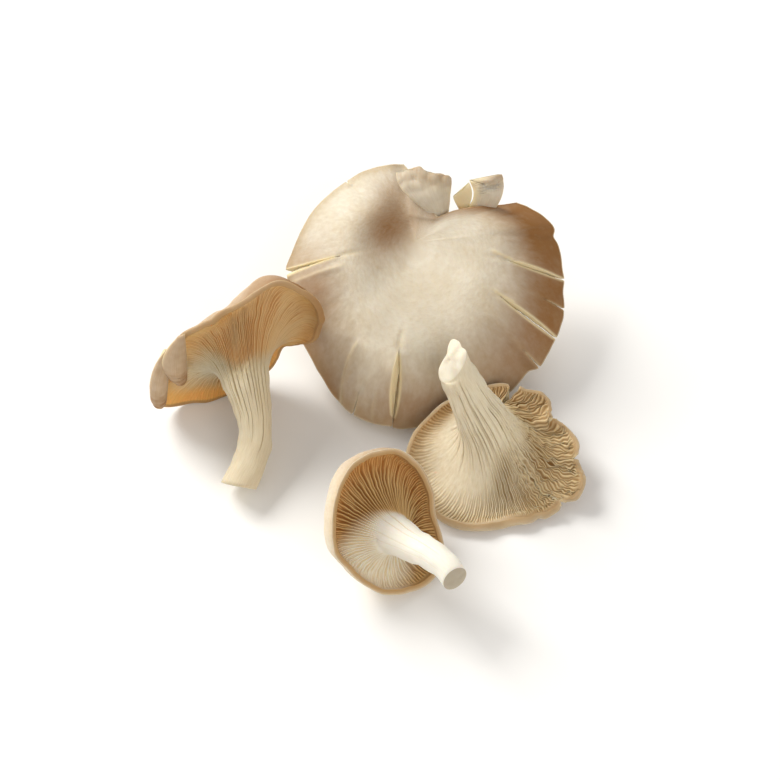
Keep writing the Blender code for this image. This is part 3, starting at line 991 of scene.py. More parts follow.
    def thin(self, gills: Array, skin: Array) -> None:
        """Raise the gill side towards the skin where the rim is torn off, so that its edge is thin.

        Args:
            gills: The gill rows, which are changed.
            skin: The skin rows.
        """
        for k in np.flatnonzero(self.reach < self.radius - 0.2):
            out = np.hypot(gills[k, :, 0], gills[k, :, 1])
            skin_out = np.hypot(skin[k, ::-1, 0], skin[k, ::-1, 1])
            above = np.interp(out, skin_out, skin[k, ::-1, 2])
            close = smooth_step(1.0 - (out[-1] - out) / self.THINNING)
            spare = np.clip(above - gills[k, :, 2] - self.TORN_THICK, 0.0, None)
            gills[k, :, 2] += spare * close

    def bend(self, points: Array) -> tuple[Array, Array, Array]:
        """Bend the cap: crown, waves, tears, creases and hollows.

        Args:
            points: Gill, rim and skin rows in the cap's frame.

        Returns:
            The bent points, the torn mask and the mask of browning and painted shade.
        """
        between = np.linspace(0.0, 1.0, len(RIM_TURNS) + 2)[1:-1]
        layer = np.concatenate([np.zeros(len(GILL_PARTS)), between, np.ones(len(SKIN_PARTS))])[None, :]
        weight = np.ones(ROWS - FIRST_GILL)
        weight[:len(GILL_PARTS)] = smooth_step(GILL_PARTS / 0.6)
        out = np.hypot(points[..., 0], points[..., 1])
        part = out / self.radius[:, None]
        inner = np.clip(part, 0.0, 1.0)
        # The 16 makes the crown as high as its table says, half way out.
        rise = self.around(self.crown) * 16.0 * inner**2 * (1.0 - inner) ** 2
        for count, height, phase in self.waves:
            wave = height * np.sin(np.radians(count * self.angle[:, None] + phase))
            rise = rise + wave * smooth_step((part - 0.5) / 0.5)
        ruffle = self.around(self.ruffle) * Ripple(self.seed + 3, 11.0).at(points)
        rise = rise + ruffle * smooth_step((part - 0.55) / 0.4)
        rise = rise + self.lumps * Ripple(self.seed + 4, 16.0).at(points) * smooth_step(part / 0.3)
        sideways = self.around(self.wavy) * Ripple(self.seed + 12, 4.5).at(points) * (1.0 - layer) * weight
        torn = np.zeros_like(out)
        brown_and_shade = np.zeros_like(out)
        for index in range(len(self.tears)):
            rise, sideways, torn = self.open_tear(index, out, layer, (rise, sideways, torn))
        # Spots paint browning, and painted shade in the dimple and on sides turned from the light.
        for spot in self.spots:
            cover = spot.cover(points)
            brown_and_shade += spot.brown_and_shade * cover
            rise = rise - spot.hollow * cover
        for crease in self.creases:
            more, pale = crease.relief(points, layer)
            rise = rise + more
            torn = np.maximum(torn, pale)
        tangent = np.cross([0.0, 0.0, 1.0], self.spoke)[:, None]
        points = points + sideways[..., None] * tangent
        points[..., 2] += rise * weight
        return points, torn, brown_and_shade

    def open_tear(
        self, index: int, out: Array, layer: Array, so_far: tuple[Array, Array, Array]
    ) -> tuple[Array, Array, Array]:
        """Open a tear: its lips part, rise and settle, and ahead of its inner end the skin sinks to a line.

        Args:
            index: Number of the tear.
            out: Distance of each point from the cap's middle.
            layer: For each row, 1 on the skin and 0 on the gill side.
            so_far: How far each point rises, how far it moves sideways, and how much it is torn flesh.

        Returns:
            The same three with the tear.
        """
        rise, sideways, torn = so_far
        tear = self.tears[index]
        middle = self.tear_angles[index]
        away = turn_between(self.angle[:, None], middle)
        side = np.where(self.tear == index, np.sign(self.place), np.sign(away[:, 0]))[:, None]
        rim = float(round_curve(self.rim, 1, np.array([middle]))[0])
        s = np.clip((out - tear.reach) / (rim - tear.reach), 0.0, 1.0)
        d = np.clip(np.abs(away) - MOUTH, 0.0, 90.0) * math.pi / 180.0 * out
        width = tear.width(s)
        gap = (tear.gap * layer + tear.under * (1.0 - layer)) * width
        ahead = smooth_step((out - tear.reach + self.AHEAD) / self.AHEAD)
        drift = tear.drift * (1.0 - s) * ahead * bell(d / self.AHEAD)
        sideways = sideways + (0.5 * side * gap + drift) * np.exp(-d / BESIDE)
        lift = np.where(side < 0, tear.lifts[0], tear.lifts[1]) * smooth_step(s / 0.35)
        leading = smooth_step((out - tear.reach + self.LINE_AHEAD) / self.LINE_AHEAD) * (out < tear.reach)
        rise = rise + lift * bell(d / tear.settle)
        rise = rise - 0.5 * bell(d / 0.9) * leading * layer
        line = bell(d / self.LINE) * smooth_step(width / 0.15) + 0.35 * bell(d / 0.8) * leading
        torn = np.maximum(torn, min(1.0, 0.6 * tear.gap) * line * (0.35 + 0.65 * layer))
        inside = (self.tear == index)[:, None] & (out > tear.reach - 0.5)
        torn = np.where(inside, min(1.0, tear.gap) * smooth_step(width / 0.1), torn)
        return rise, sideways, torn

    def relief(self, points: Array) -> tuple[Array, Array]:
        """Raise the gills on the gill rows.

        Args:
            points: Rows in the cap's frame; the throat ring comes first.

        Returns:
            The points, and how deep each one lies between the gills.
        """
        rows = len(GILL_PARTS)
        blade = bell(np.minimum(self.phase, 1.0 - self.phase) / self.FULL_GILL)
        second = bell((self.phase - 0.5) / self.SHORT_GILL)
        rng = np.random.default_rng(self.seed)
        own = rng.uniform(0.0, 1.0, (2, COLUMNS))
        mine = own[0][(self.gill + (self.phase > 0.49)) % COLUMNS][:, None]
        other = own[1][self.gill][:, None]
        t = GILL_PARTS[None, :]
        pattern = (
            blade[:, None] * (0.75 + 0.4 * mine)
            + second[:, None] * (0.55 + 0.45 * other) * smooth_step((t - 0.25 - 0.45 * other) / 0.12)
        )
        begin = self.around(self.gill_start)
        band = self.around(self.band)
        fade = smooth_step((t - begin) / (0.16 + 0.5 * begin) + 0.5)
        fade = fade * (1.0 - smooth_step((t - 1.0 + band) / (0.6 * band)))
        across = np.roll(points[:, :rows], -1, axis=0) - np.roll(points[:, :rows], 1, axis=0)
        normal = np.cross(across, np.gradient(points[:, :rows], axis=1))
        normal /= np.maximum(np.linalg.norm(normal, axis=2, keepdims=True), SMALLEST)
        normal *= -np.sign(normal[:, rows // 2, 2].mean())
        spacing = 0.5 * np.linalg.norm(across, axis=2) * self.per_gill
        rise = np.minimum(self.depth, self.STEEPEST * spacing) * fade * (pattern - self.SUNK)
        # deep is the painted shade between the gills, darkest where they lie lowest.
        deep = np.clip(1.0 - pattern * 1.2, 0.0, 1.0) * fade
        run = self.stem_grooves(np.ones(1)) * (1.0 - smooth_step((t - 0.1) / 0.45))
        rise = rise - self.decurrent * run
        deep = np.maximum(deep, run)
        self.crumbled = np.zeros((COLUMNS, rows))
        for angle, middle, turn, length, size in self.crumbs:
            window = bell(turn_between(self.angle, angle) / turn)[:, None] * bell((t - middle) / length)
            rough = Ripple(self.seed + 20, 1.7).at(points[:, :rows])
            rise = rise + window * size * np.abs(rough)
            deep = deep * (1.0 - window * smooth_step(rough + 0.5))
            self.crumbled = np.maximum(self.crumbled, window * smooth_step(0.5 + rough))
        points = points.copy()
        points[:, :rows] += rise[..., None] * normal
        return points, deep

    def stem_grooves(self, parts: Array) -> Array:
        """Work out the grooves that run down the stem between the ends of the gills.

        Args:
            parts: Places along the stem, 0 at the foot and 1 at the throat.

        Returns:
            How deep they are there, from 0 to 1, by column and part.
        """
        rng = np.random.default_rng(self.seed + 8)
        deep = np.zeros((COLUMNS, len(parts)))
        for middle in (np.arange(self.grooves) + rng.uniform(-0.4, 0.4, self.grooves)) * 360.0 / self.grooves:
            low = 1.0 - rng.uniform(0.1, 1.0) ** 1.3
            wander = rng.uniform(-5.0, 5.0)
            width = rng.uniform(0.8, 2.0)
            strength = rng.uniform(0.35, 1.0)
            away = turn_between(self.angle[:, None], middle + wander * (1.0 - parts[None, :]))
            deep = np.maximum(deep, strength * bell(away / width) * smooth_step((parts - low) / 0.3 + 0.05))
        return deep

    def masks(self, deep: Array, torn: Array, brown_and_shade: Array) -> dict[str, Array]:
        """Work out the values that the finish reads.

        Args:
            deep: How deep each point of the gill rows lies between the gills.
            torn: How much each point of the cap is torn flesh.
            brown_and_shade: How much browning and painted shade it has.

        Returns:
            The masks by name, each by column and row, and the grain, which has three numbers for a point.
        """
        shape = (COLUMNS, ROWS)
        masks = {name: np.zeros(shape) for name in MASKS}
        white = self.around(self.white)
        band = self.around(self.band)
        masks["skin"][:, RIM_ROWS] = smooth_step(np.linspace(-0.1, 1.3, len(RIM_TURNS)))
        masks["skin"][:, SKIN_ROWS] = 1.0
        masks["stem"][:, :FIRST_GILL] = 1.0
        masks["stem"][:, GILL_ROWS] = 1.0 - smooth_step((GILL_PARTS / white - 0.4) / 0.6)
        # Painted shade between the gills and in the stem's grooves.
        masks["valley_shade"][:, GILL_ROWS] = deep
        masks["valley_shade"][:, len(FOOT_PARTS):FIRST_GILL] = self.stem_grooves(STEM_PARTS)
        masks["rim"][:, GILL_ROWS] = smooth_step((GILL_PARTS - 1.0 + band) / (0.7 * band))
        masks["rim"][:, RIM_ROWS] = 0.8
        masks["rim"][:, SKIN_ROWS] = smooth_step((SKIN_PARTS - 0.86) / 0.14) ** 2
        masks["rim"] *= (self.tear < 0)[:, None]
        masks["torn"][:, FIRST_GILL:] = torn
        masks["torn"][:, GILL_ROWS] = np.maximum(masks["torn"][:, GILL_ROWS], 0.55 * self.crumbled)
        masks["brown_and_shade"][:, FIRST_GILL:] = brown_and_shade
        # Towards the rim the skin gets browner, partly as painted shade on sides turned from the light.
        masks["brown_and_shade"][:, SKIN_ROWS] += self.around(self.rim_brown_and_shade) * smooth_step((SKIN_PARTS - 0.42) / 0.58)
        # A painted glowing tint on the gills towards the rim, which is painted shade where its colour is
        # darker.
        painted_glow_and_shade = self.around(self.painted_glow_and_shade)
        masks["painted_glow_and_shade"][:, GILL_ROWS] = painted_glow_and_shade * smooth_step((GILL_PARTS - self.glow_start) / 0.25)
        masks["foot"][:, :len(FOOT_PARTS)] = 1.0
        masks = {name: np.clip(mask, 0.0, 1.0) for name, mask in masks.items()}
        size = np.full(ROWS, self.FIBRILS_ROUND)
        size[SKIN_ROWS] *= smooth_step(SKIN_PARTS / 0.6)
        radians = np.radians(self.angle)[:, None]
        along = np.broadcast_to(np.arange(ROWS) * self.FIBRIL_STEP, shape)
        masks["grain"] = np.stack([size * np.cos(radians), size * np.sin(radians), along], axis=-1)
        return masks

    def decurrent_ridges(self, rings: Array) -> Array:
        """Let the gills run down the stem as low ridges, and make the stem uneven.

        Args:
            rings: The stem's rings by column and row, in the frame of the cluster.

        Returns:
            The rings with ridges.
        """
        centre = rings.mean(axis=0)
        out = rings - centre[None]
        length = np.linalg.norm(out, axis=2, keepdims=True)
        parts = np.append(STEM_PARTS, 1.0)
        rise = -self.decurrent * self.stem_grooves(parts)[..., None]
        uneven = smooth_step(parts / 0.2)[None, :, None]
        rise = rise + 0.3 * Ripple(self.seed + 9, 7.0).at(rings)[..., None] * uneven
        return centre[None] + out * (1.0 + rise / np.maximum(length, 1.0))

    def build(self) -> list[bpy.types.Object]:
        """Make the mushroom and its flaps.

        Returns:
            The finished pieces, the mushroom first.
        """
        material = flesh_material(self.name + "_fresh_flesh", self.flesh)
        rings, direction = self.stem_rings()
        points = self.profiles(rings[:, -1], direction)
        points, torn, brown_and_shade = self.bend(points)
        points, deep = self.relief(points)
        masks = self.masks(deep, torn, brown_and_shade)
        rings = self.decurrent_ridges(rings)
        cap = points @ self.axes + np.asarray(self.apex)
        join = smooth_step(GILL_PARTS / 0.12)[None, :, None]
        shift = (rings[:, -1] - cap[:, 0])[:, None] * (1.0 - join)
        cap[:, :len(GILL_PARTS)] += shift
        foot = rings[:, 0].mean(axis=0)
        face = foot + FOOT_PARTS[None, :, None] * (rings[:, :1] - foot)
        inner = (1.0 - FOOT_PARTS**2)[None, :]
        swell = self.foot_bulge * inner * (1.0 + 0.5 * Ripple(self.seed + 6, 5.0).at(face))
        face = face + swell[..., None] * unit(self.cut)
        grid = np.concatenate([face, rings[:, :-1], cap], axis=1)
        piece, row, column = drum(self.name, COLUMNS, ROWS)
        inside = (row > 0) & (row <= ROWS)
        places = np.empty((len(row), 3))
        places[inside] = grid[column[inside], row[inside] - 1]
        places[row == 0] = face[:, 0].mean(axis=0) + 0.05 * self.foot_bulge * unit(self.cut)
        places[row == ROWS + 1] = grid[:, -1].mean(axis=0)
        places[:, 2] = np.maximum(places[:, 2], 0.0)
        values = {}
        for name, mask in masks.items():
            whole = np.empty((len(row),) + mask.shape[2:])
            whole[inside] = mask[column[inside], row[inside] - 1]
            whole[row == 0] = mask[:, 0].mean(axis=0)
            whole[row == ROWS + 1] = mask[:, -1].mean(axis=0)
            values[name] = whole
        fill(piece, (places + SHIFT) * MM, values, material)
        return [piece] + [flap.build(self.axes, np.asarray(self.apex), material) for flap in self.flaps]


LARGE = Mushroom(
    name="large_cap_seen_from_above",
    node="mushroom_large",
    apex=(8.8, 36.3, 40.3),
    facing=(0.0, -0.4226, 0.9063),
    rim=(
        (1, 50.9, 11), (3.6, 49, 10.5), (5.4, 50.2, 10.5), (11, 47.9, 10), (13, 46.6, 10), (20, 41.5, 9),
        (24, 38, 8), (31, 37, 7), (43, 33, 7), (60, 31, 7), (80, 30.5, 8), (95, 29.8, 9), (99.5, 29.6, 10),
        (110, 30.5, 9), (122, 32, 9), (141, 34.3, 10), (156, 37.3, 10.5), (169, 40.2, 11), (180, 43, 11.5),
        (191, 46.5, 12), (205, 49.5, 12.5), (221, 53, 12.5), (234, 57.2, 12.5), (245, 62.4, 12),
        (253, 64.9, 12), (261, 65.4, 12), (270, 65, 12), (283, 64.8, 12), (296, 63.6, 12), (309, 60.9, 12),
        (312.4, 60.2, 12), (314.6, 61.9, 12), (325, 60.2, 12), (334, 58.6, 12), (337, 57.2, 12),
        (348, 53.8, 11.5),
    ),
    margin=((0, 42), (90, 34), (180, 46), (270, 44)),
    crown=((0, 5.5), (45, 2.5), (80, 2.5), (105, 0), (150, 7), (200, 7.5), (250, 6), (300, 6)),
    edge=((0, 1.1),),
    stem=((6.0, 44.0, 0.0, 11.0), (6.3, 43.5, 4.0, 10.0), (7.0, 42.0, 11.0, 9.6), (8.0, 40.0, 17.0, 10.0)),
    cut=(0.0, 0.0, -1.0),
    depth=1.6,
    flare=0.42,
    sweep=0.5,
    seed=11,
    waves=((7, 0.7, 40), (11, 0.4, 10)),
    torn=(
        (22, 60), (23, 37), (26, 30), (33, 21.5), (39, 17), (45, 13), (50, 11.4), (58, 12.2), (66, 13.6),
        (75, 16), (84, 19.2), (91, 22.6), (96, 27.5), (98, 29.5), (99.5, 60), (160, 90), (260, 90),
    ),
    tears=(
        Tear(346.6, 33.0, 1.2, Gape.LENS, (0.4, 1.6), 5.0, 0.6, 0.0),
        Tear(326.4, 36.0, 1.5, Gape.LENS, (0.3, 1.8), 5.0, 0.0, 0.0),
        Tear(262.6, 38.5, 3.1, Gape.LENS, (2.6, -1.2), 6.0, -0.9, 0.0, 1.3, 0.86),
        Tear(192.0, 27.0, 2.6, Gape.WEDGE, (-0.8, 2.0), 4.5, 0.0, 0.0),
        Tear(336.2, 49.5, 0.3, Gape.WEDGE, (0.0, 0.7), 3.0),
        Tear(315.5, 53.5, 0.4, Gape.WEDGE, (0.0, 0.8), 3.0),
        Tear(250.0, 56.0, 0.3, Gape.WEDGE, (0.0, 0.9), 4.0),
        Tear(137.5, 30.5, 0.5, Gape.WEDGE, (0.0, 0.6), 2.5),
    ),
    creases=(
        Crease((-25.5, -60.0), (-19.5, -34.0), 0.8, 1.0, 2.6, -1.3, 0.5),
        Crease((-15.0, -63.0), (-12.5, -52.0), 0.3, 0.8, 0.8, -0.3, 0.2),
        Crease((-24.0, -8.5), (-44.0, -12.5), 0.5, 1.4, 0.0, 0.3, 0.3),
        Crease((25.6, -3.5), (34.5, -7.9), 0.35, 0.7, 0.0, 0.2, 0.8),
        Crease((26.3, -17.2), (35.0, -22.6), 0.35, 0.7, 0.0, 0.2, 0.8),
        Crease((9.5, 7.5), (-3.0, 9.5), 0.25, 1.2, 0.5, -0.3),
    ),
    spots=(
        # The spots are partly browner flesh and partly painted shade: in the dimple's hollow, and at the
        # right edge, x 42 and 44, where the cap turns from the light. The paler bump at (-17, -50) is a
        # painted highlight.
        Spot((-8.5, 5.0), (11.0, 8.0), 0.74, 2.3, 65.0),
        Spot((-36.0, -17.0), (10.0, 9.0), 0.55),
        Spot((-9.0, 18.0), (6.0, 7.0), 0.3),
        Spot((2.5, 8.0), (8.0, 5.0), 0.22, 1.0, 40.0),
        Spot((42.0, 4.0), (12.0, 14.0), 0.5),
        Spot((44.0, -22.0), (13.0, 15.0), 0.4),
        Spot((4.0, -58.0), (24.0, 9.0), 0.4),
        Spot((-40.0, -33.0), (12.0, 10.0), 0.35),
        Spot((-31.0, -50.0), (6.0, 8.0), 0.35),
        Spot((-40.0, -4.0), (12.0, 6.0), 0.2),
        Spot((30.0, -38.0), (16.0, 14.0), 0.22),
        Spot((28.0, 10.0), (10.0, 4.0), 0.3),
        Spot((2.0, 20.0), (7.0, 5.0), 0.22),
        Spot((-17.0, -50.0), (5.0, 11.0), -0.1, -1.1),
        Spot((-14.0, 2.0), (7.0, 10.0), 0.2),
    ),
    # Painted shade with some browning: the skin darkens towards the rim most on the right, which is turned
    # from the light.
    rim_brown_and_shade=(
        (0, 0.66), (20, 0.66), (60, 0.3), (130, 0.02), (190, 0.15), (230, 0.36), (270, 0.34), (320, 0.6),
    ),
    flesh=Flesh(),
    flaps=(
        Flap(
            "wide_torn_lobe",
            ((7.0, 8.0, -1.2), (2.2, 13.2, 2.0), (-6.6, 16.5, 3.0), (-6.7, 23.8, 2.6)),
            ((11.4, 9.0, -1.8), (11.6, 13.0, 1.8), (12.3, 17.0, 3.8), (12.5, 21.8, 3.4)),
            2.7, 2.2, 2.0, 0.7, 21, 0.42,
        ),
        Flap(
            "narrow_torn_lobe",
            ((16.8, 11.2, -1.8), (20.3, 13.5, 0.8), (21.6, 16.5, 3.6), (18.9, 20.6, 5.4)),
            ((27.8, 11.6, -2.6), (29.8, 15.0, 0.6), (31.8, 18.8, 3.6), (29.8, 23.4, 5.4)),
            2.0, 1.0, -1.1, 0.7, 22, 0.35, 0.3, 0.1,
        ),
        Flap(
            "thin_white_flap",
            ((15.4, 11.0, -1.6), (14.4, 13.0, 0.2), (13.2, 14.3, 1.4), (13.2, 15.8, 2.2)),
            ((18.0, 11.4, -1.4), (19.6, 14.0, 1.4), (20.6, 17.0, 4.2), (18.4, 20.2, 5.4)),
            0.9, -0.8, -0.3, 0.25, 23, 0.0, 3.0,
        ),
    ),
)

LEFT = Mushroom(
    name="left_cap_on_its_edge",
    node="mushroom_left",
    apex=(-53.9, 12.9, 31.4),
    facing=(-0.35, 0.935, -0.05),
    right=(0.936, 0.35, 0.0),
    rim=(
        (3, 28, 15.6), (13, 27.7, 15.6), (24, 26, 14.6), (31, 24, 12.6), (49, 22.5, 10.6), (70, 26.5, 10.6),
        (88, 31, 10.6), (106, 35.1, 10.6), (123, 39, 10.6), (130, 41.5, 10.6), (138, 42.5, 10.6),
        (142, 42.5, 10.6), (153, 40.6, 10.6), (162, 37.2, 10.6), (175, 31.8, 10.6), (186, 28.3, 10.6),
        (205, 26.4, 10.6), (214, 25, 10.6), (227, 23.6, 10.6), (234, 21.2, 10.6), (249, 20.6, 10.6),
        (265, 23.6, 11), (279, 29.4, 12.6), (291, 34, 13.6), (299, 35, 14.6), (310, 33.5, 15.6),
        (326, 31, 15.6),
    ),
    margin=((0, 75), (50, 45), (90, 35), (150, 30), (205, 24), (250, 34), (280, 48), (310, 75)),
    edge=((0, 1.0),),
    stem=(
        (-52.4, -41.9, 6.2, 6.1), (-49.0, -34.6, 8.5, 5.9), (-46.9, -28.0, 12.0, 5.8),
        (-46.9, -21.7, 16.5, 6.0), (-48.2, -16.2, 20.8, 6.9), (-49.8, -10.6, 25.0, 8.4),
    ),
    cut=(-0.2, -0.84, -0.5),
    depth=0.75,
    flare=0.4,
    sweep=0.4,
    seed=31,
    waves=((9, 0.8, 15),),
    ruffle=((0, 0.2), (120, 0.6), (200, 0.4)),
    # Painted shade: the spot darkens the right part of this cap, which is turned from the light.
    spots=(Spot((28.0, -8.0), (11.0, 24.0), 0.75),),
    gill_start=((0, 0.12),),
    rim_brown_and_shade=((0, 0.9), (60, 0.4), (130, 0.35), (180, 0.3), (230, 0.2), (280, 0.6), (320, 0.95)),
    painted_glow_and_shade=((0, 0.25), (40, 0.5), (90, 1.0), (140, 0.85), (175, 0.2), (230, 0.35), (290, 0.3), (330, 0.45)),
    glow_start=0.66,
    band=((0, 0.04),),
    white=((0, 0.35), (60, 0.6), (110, 0.85), (150, 0.9), (190, 0.8), (240, 0.35), (300, 0.25)),
    crumbs=((262, 0.12, 26.0, 0.07, 0.8),),
    grooves=34,
    per_gill=6,
    flesh=Flesh(
        skin_pale="#DAC8AE", skin_mid="#B99E7C", gill_edge="#E4BF8A", gill_valley_shade="#BC8C54", margin="#9C7A52",
        stem_pale="#DDD0B4", stem_shade="#BFAA82", stem_groove_shade="#94793C", painted_glow_and_shade="#ECB464",
    ),
    decurrent=0.75,
    flaps=(
        Flap(
            "long_rolled_finger",
            ((-23.4, -12.6, -10.2), (-31.8, -11.0, -13.0), (-33.4, 0.0, -13.5), (-27.8, 7.4, -13.5)),
            ((-21.4, -13.4, -10.4), (-22.8, -9.0, -13.5), (-22.6, 2.0, -14.0), (-23.4, 8.8, -14.0)),
            2.0, -2.6, 0.6, 0.2, 24, 0.9, 0.0, 0.16,
        ),
        Flap(
            "short_rolled_finger",
            ((-28.8, -8.2, -10.8), (-34.6, -3.5, -12.0), (-37.4, 11.0, -12.5), (-35.2, 20.5, -12.0)),
            ((-27.2, -6.8, -11.0), (-29.4, 0.0, -13.5), (-30.6, 14.0, -14.0), (-31.4, 22.0, -13.0)),
            2.2, -2.2, 0.4, 0.2, 25, 0.95, 0.0, 0.14,
        ),
    ),
)

MEDIUM = Mushroom(
    name="front_cap_with_gills_up",
    node="mushroom_medium",
    apex=(39.0, -34.0, 0.4),
    facing=(0.0, 0.1564, -0.9877),
    rim=(
        (2.5, 28.8, 9), (9.5, 30.0, 9), (16.6, 30.2, 9), (26.8, 29.5, 8), (30, 27.6, 8), (33.5, 25.4, 7),
        (36, 26.1, 7), (43.7, 24.9, 6), (51.9, 24.0, 6), (55, 22.8, 6), (63, 23.4, 6), (82, 22.6, 6),
        (99, 24.2, 6), (114, 26.4, 6), (128, 29, 7), (150, 31.6, 8), (169, 33.2, 9), (183, 34.2, 10),
        (199, 33.6, 11), (223, 31, 12), (247, 29.1, 12), (260, 29.5, 12), (272, 29.7, 12), (283.9, 29.2, 12),
        (290, 29.8, 12), (296.7, 30.4, 12), (303.3, 29.9, 11), (309.2, 28.0, 11), (314.5, 25.6, 11),
        (318, 25.2, 10), (322.6, 26.2, 10), (331, 27.8, 10), (339.9, 28.2, 10), (349.8, 27.8, 10),
        (354, 27.2, 10),
    ),
    margin=((0, 50), (90, 55), (180, 52), (270, 52)),
    edge=((0, 0.8), (50, 1.0), (80, 1.3), (120, 1.2), (160, 0.7), (300, 0.7)),
    stem=(
        (22.2, -15.4, 46.6, 5.9), (22.7, -16.6, 43.0, 6.1), (24.2, -17.9, 38.5, 6.6),
        (27.4, -20.7, 31.0, 7.4), (31.2, -24.0, 24.0, 9.0),
    ),
    cut=(-0.64, -0.19, 0.74),
    depth=1.0,
    flare=0.42,
    sweep=0.42,
    seed=51,
    waves=((9, 0.8, 0),),
    ruffle=((0, 1.3), (40, 1.2), (80, 0.4), (180, 0.2), (270, 0.4), (310, 1.3)),
    tears=(
        Tear(278.6, 21.0, 4.4, Gape.WEDGE, (0.0, 0.0), 4.0, 0.0, 4.4),
        Tear(316.8, 22.0, 1.9, Gape.WEDGE, (1.0, -1.0), 5.0, 0.0, 1.9),
        Tear(354.5, 24.0, 1.5, Gape.WEDGE, (-0.9, 1.0), 5.0, 0.0, 1.5),
        Tear(32.5, 21.0, 2.1, Gape.WEDGE, (0.9, -0.8), 4.0, 0.0, 2.1),
    ),
    band=((0, 0.03), (60, 0.08), (90, 0.1), (120, 0.06), (150, 0.02), (260, 0.02)),
    rim_brown_and_shade=((0, 0.9), (60, 0.7), (90, 0.45), (150, 0.8), (300, 0.9)),
    painted_glow_and_shade=((0, 0.0), (120, 0.0), (180, 0.3), (230, 0.5), (270, 0.3)),
    gill_start=(
        (0, 0.3), (45, 0.25), (75, 0.3), (100, 0.5), (130, 0.72), (165, 0.8), (215, 0.76), (270, 0.35),
    ),
    white=((0, 0.5), (40, 0.75), (75, 1.1), (100, 1.25), (150, 1.25), (200, 1.05), (250, 0.55), (320, 0.4)),
    wavy=((0, 0.9), (50, 0.5), (80, 0.2), (180, 0.2), (270, 0.5), (310, 0.9)),
    crumbs=((4, 0.16, 34.0, 0.15, 0.55), (330, 0.28, 20.0, 0.14, 0.45), (38, 0.45, 12.0, 0.25, 0.45)),
    flesh=Flesh(
        skin_brown_and_shade="#80582E", gill_edge="#D8C298", gill_valley_shade="#906A38", margin="#9E7E58", cut="#E6DDC8",
        painted_glow_and_shade="#B0824A", torn="#D8C6A0", stem_pale="#E8DDC4", stem_shade="#C8B48A", stem_groove_shade="#8E6E32",
    ),
    decurrent=0.75,
    grooves=54,
    foot_shape=(
        (0, 0.75), (60, 0.75), (120, 0.95), (180, 1.05), (230, 0.8), (262, 1.2), (285, 0.95), (320, 0.65),
    ),
    foot_bulge=1.8,
)

SMALL = Mushroom(
    name="small_cup_in_front",
    node="mushroom_small",
    apex=(-11.6, -56.2, 12.9),
    facing=(-0.62, 0.55, -0.55),
    rim=(
        (3, 21.5, 17.5), (15, 23, 19), (27, 27, 21), (39, 28.5, 22), (53, 28.5, 22), (67, 27.5, 21),
        (77, 27.3, 20), (88, 26.5, 18), (103, 24.7, 17), (123, 22.5, 16), (143, 22, 15.5), (164, 23.6, 15.5),
        (177, 24, 15.5), (190, 24.2, 15.5), (203, 25.2, 15.5), (219, 26.4, 15.5), (233, 27.6, 15.5),
        (250, 28, 15.5), (266, 27.4, 15.5), (283, 26.6, 15.5), (313, 24.5, 15.5), (330, 23.5, 15.5),
        (347, 22.3, 16),
    ),
    margin=((0, 98),),
    edge=((0, 0.9),),
    stem=(
        (22.0, -88.0, 24.4, 4.6), (19.6, -84.4, 25.2, 4.8), (15.0, -80.0, 25.0, 5.1), (7.5, -73.7, 22.0, 5.8),
        (2.0, -68.2, 18.5, 7.0),
    ),
    cut=(0.5, -0.8, 0.2),
    depth=1.1,
    flare=0.35,
    sweep=0.5,
    seed=71,
    waves=((5, 0.4, 0),),
    ruffle=((0, 0.25),),
    band=((0, 0.12),),
    rim_brown_and_shade=((0, 0.5), (70, 0.0), (190, 0.0), (250, 0.35), (290, 0.6), (320, 0.75)),
    painted_glow_and_shade=((0, 0.1), (90, 0.0), (180, 0.35), (250, 0.5), (320, 0.3)),
    # At 90 to 140 degrees the gills take the stem's near-white colour almost to the rim: partly real, partly
    # painted light on an inside wall that faces away from the key lamp.
    white=((0, 0.2), (50, 0.7), (90, 1.35), (140, 1.3), (180, 0.6), (240, 0.25), (300, 0.12)),
    grooves=14,
    per_gill=10,
    soften=14.0,
    gill_start=((0, 0.15),),
    # The near-white stem colours are partly painted light on the cup's shaded inside; the greyer beige of the
    # cut foot is painted shade on a face turned from the light, and the darker orange-brown tint of the gills
    # is painted shade inside the cup.
    flesh=Flesh(
        skin_pale="#ECE4D3", skin_mid="#DCC8A8", gill_edge="#E2BE84", gill_valley_shade="#8C5C26", margin="#A07A4C",
        painted_glow_and_shade="#C07E36", stem_pale="#F8F4E8", stem_shade="#F2E9D2", stem_groove_shade="#D8C08E", cut="#B5AA96",
    ),
    decurrent=0.25,
    foot_bulge=0.8,
)


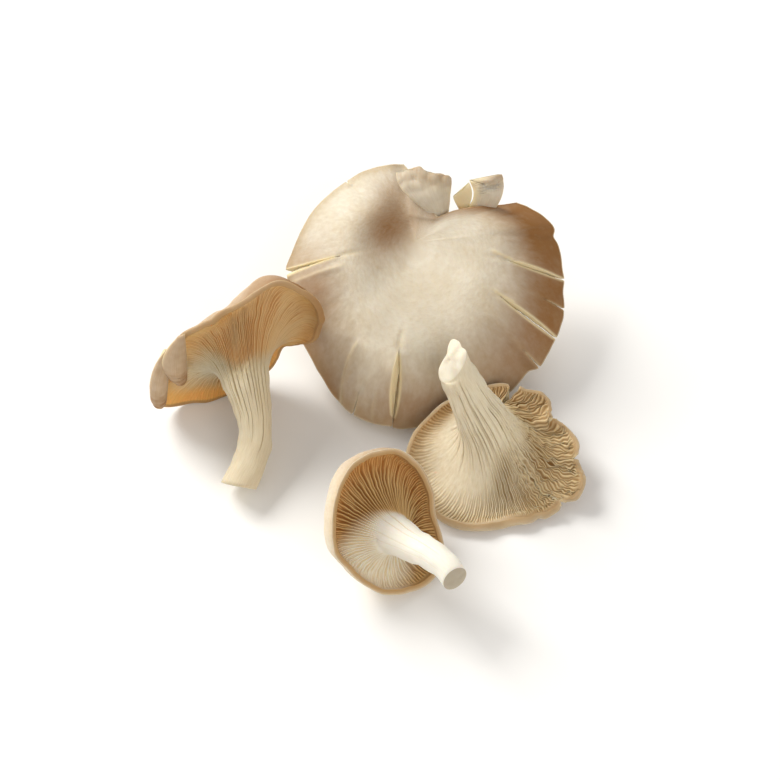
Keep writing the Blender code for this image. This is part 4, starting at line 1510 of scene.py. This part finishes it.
@dataclass
class Studio:
    """Pale floor, soft light from the upper left and the camera.

    Args:
        distance: From the camera to what it looks at, in metres.
        elevation: Height of the camera's line of sight above the floor, in degrees.
        lens: Focal length, in millimetres.
        film: Width of the film, in millimetres.
        floor_size: Side of the floor, in metres.
        floor_drop: Space between the floor and the cluster, in metres.
        room: Strength of the even light from all round.
        lamps: For each square lamp its name, its place and its sides in metres, its power and its colour.
    """

    distance: float = 2.0
    elevation: float = 60.0
    lens: float = 263.16
    film: float = 36.0
    floor_size: float = 6.0
    floor_drop: float = 0.0002
    room: float = 0.5
    lamps: tuple[tuple[str, Triple, float, float, str], ...] = (
        ("key_from_the_upper_left", (-1.0, 0.85, 1.15), 0.9, 30.5, "#FFFEFB"),
        ("fill_from_the_front", (0.7, -1.2, 1.2), 1.2, 9.0, "#FFF4E6"),
    )

    def add_floor(self) -> None:
        """Add the floor: board with matt white paint, which shows no gloss and only soft shadows."""
        bpy.ops.object.select_all(action="DESELECT")
        bpy.ops.mesh.primitive_plane_add(size=self.floor_size, location=(0.0, 0.0, -self.floor_drop))
        floor = bpy.context.object
        floor.name = "pale_floor"
        material = bpy.data.materials.new("matt_white_board")
        material.use_nodes = True
        shader = material.node_tree.nodes["Principled BSDF"]
        shader.inputs["Base Color"].default_value = linear("#F6F5F3")
        shader.inputs["Roughness"].default_value = 0.9
        floor.data.materials.append(material)

    def add_lamps(self) -> None:
        """Add the lamps, which all look at the cluster."""
        for name, place, size, watts, colour in self.lamps:
            bpy.ops.object.light_add(type="AREA", location=place)
            lamp = bpy.context.object
            lamp.name = name
            lamp.data.size = size
            lamp.data.energy = watts
            lamp.data.color = linear(colour)[:3]
            lamp.rotation_euler = (-Vector(place)).to_track_quat("-Z", "Y").to_euler()

    def add_room(self) -> None:
        """Light the scene evenly from all round."""
        world = bpy.data.worlds.new("soft_room")
        bpy.context.scene.world = world
        world.use_nodes = True
        background = world.node_tree.nodes["Background"]
        background.inputs["Color"].default_value = linear("#FFFFFF")
        background.inputs["Strength"].default_value = self.room

    def add_camera(self) -> None:
        """Add the camera and make it the scene's own."""
        rise = math.radians(self.elevation)
        bpy.ops.object.camera_add(
            location=Vector(SHIFT * MM) + self.distance * Vector((0.0, -math.cos(rise), math.sin(rise))),
            rotation=(math.pi / 2.0 - rise, 0.0, 0.0),
        )
        camera = bpy.context.object
        camera.data.sensor_width = self.film
        camera.data.lens = self.lens
        bpy.context.scene.camera = camera

    def build(self) -> None:
        """Add the floor, the room, the lamps and the camera."""
        bpy.context.scene.view_settings.view_transform = "Standard"
        self.add_floor()
        self.add_room()
        self.add_lamps()
        self.add_camera()


def main() -> None:
    """Build the mushrooms and the studio."""
    logging.basicConfig(level=logging.INFO)
    for mushroom in (LARGE, LEFT, MEDIUM, SMALL):
        pieces = mushroom.build()
        for piece in pieces:
            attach(piece, "root")
            LOG.info("%s has %d points", piece.name, len(piece.data.vertices))
        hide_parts(mushroom.node)
    Studio().build()


if __name__ == "__main__":
    main()
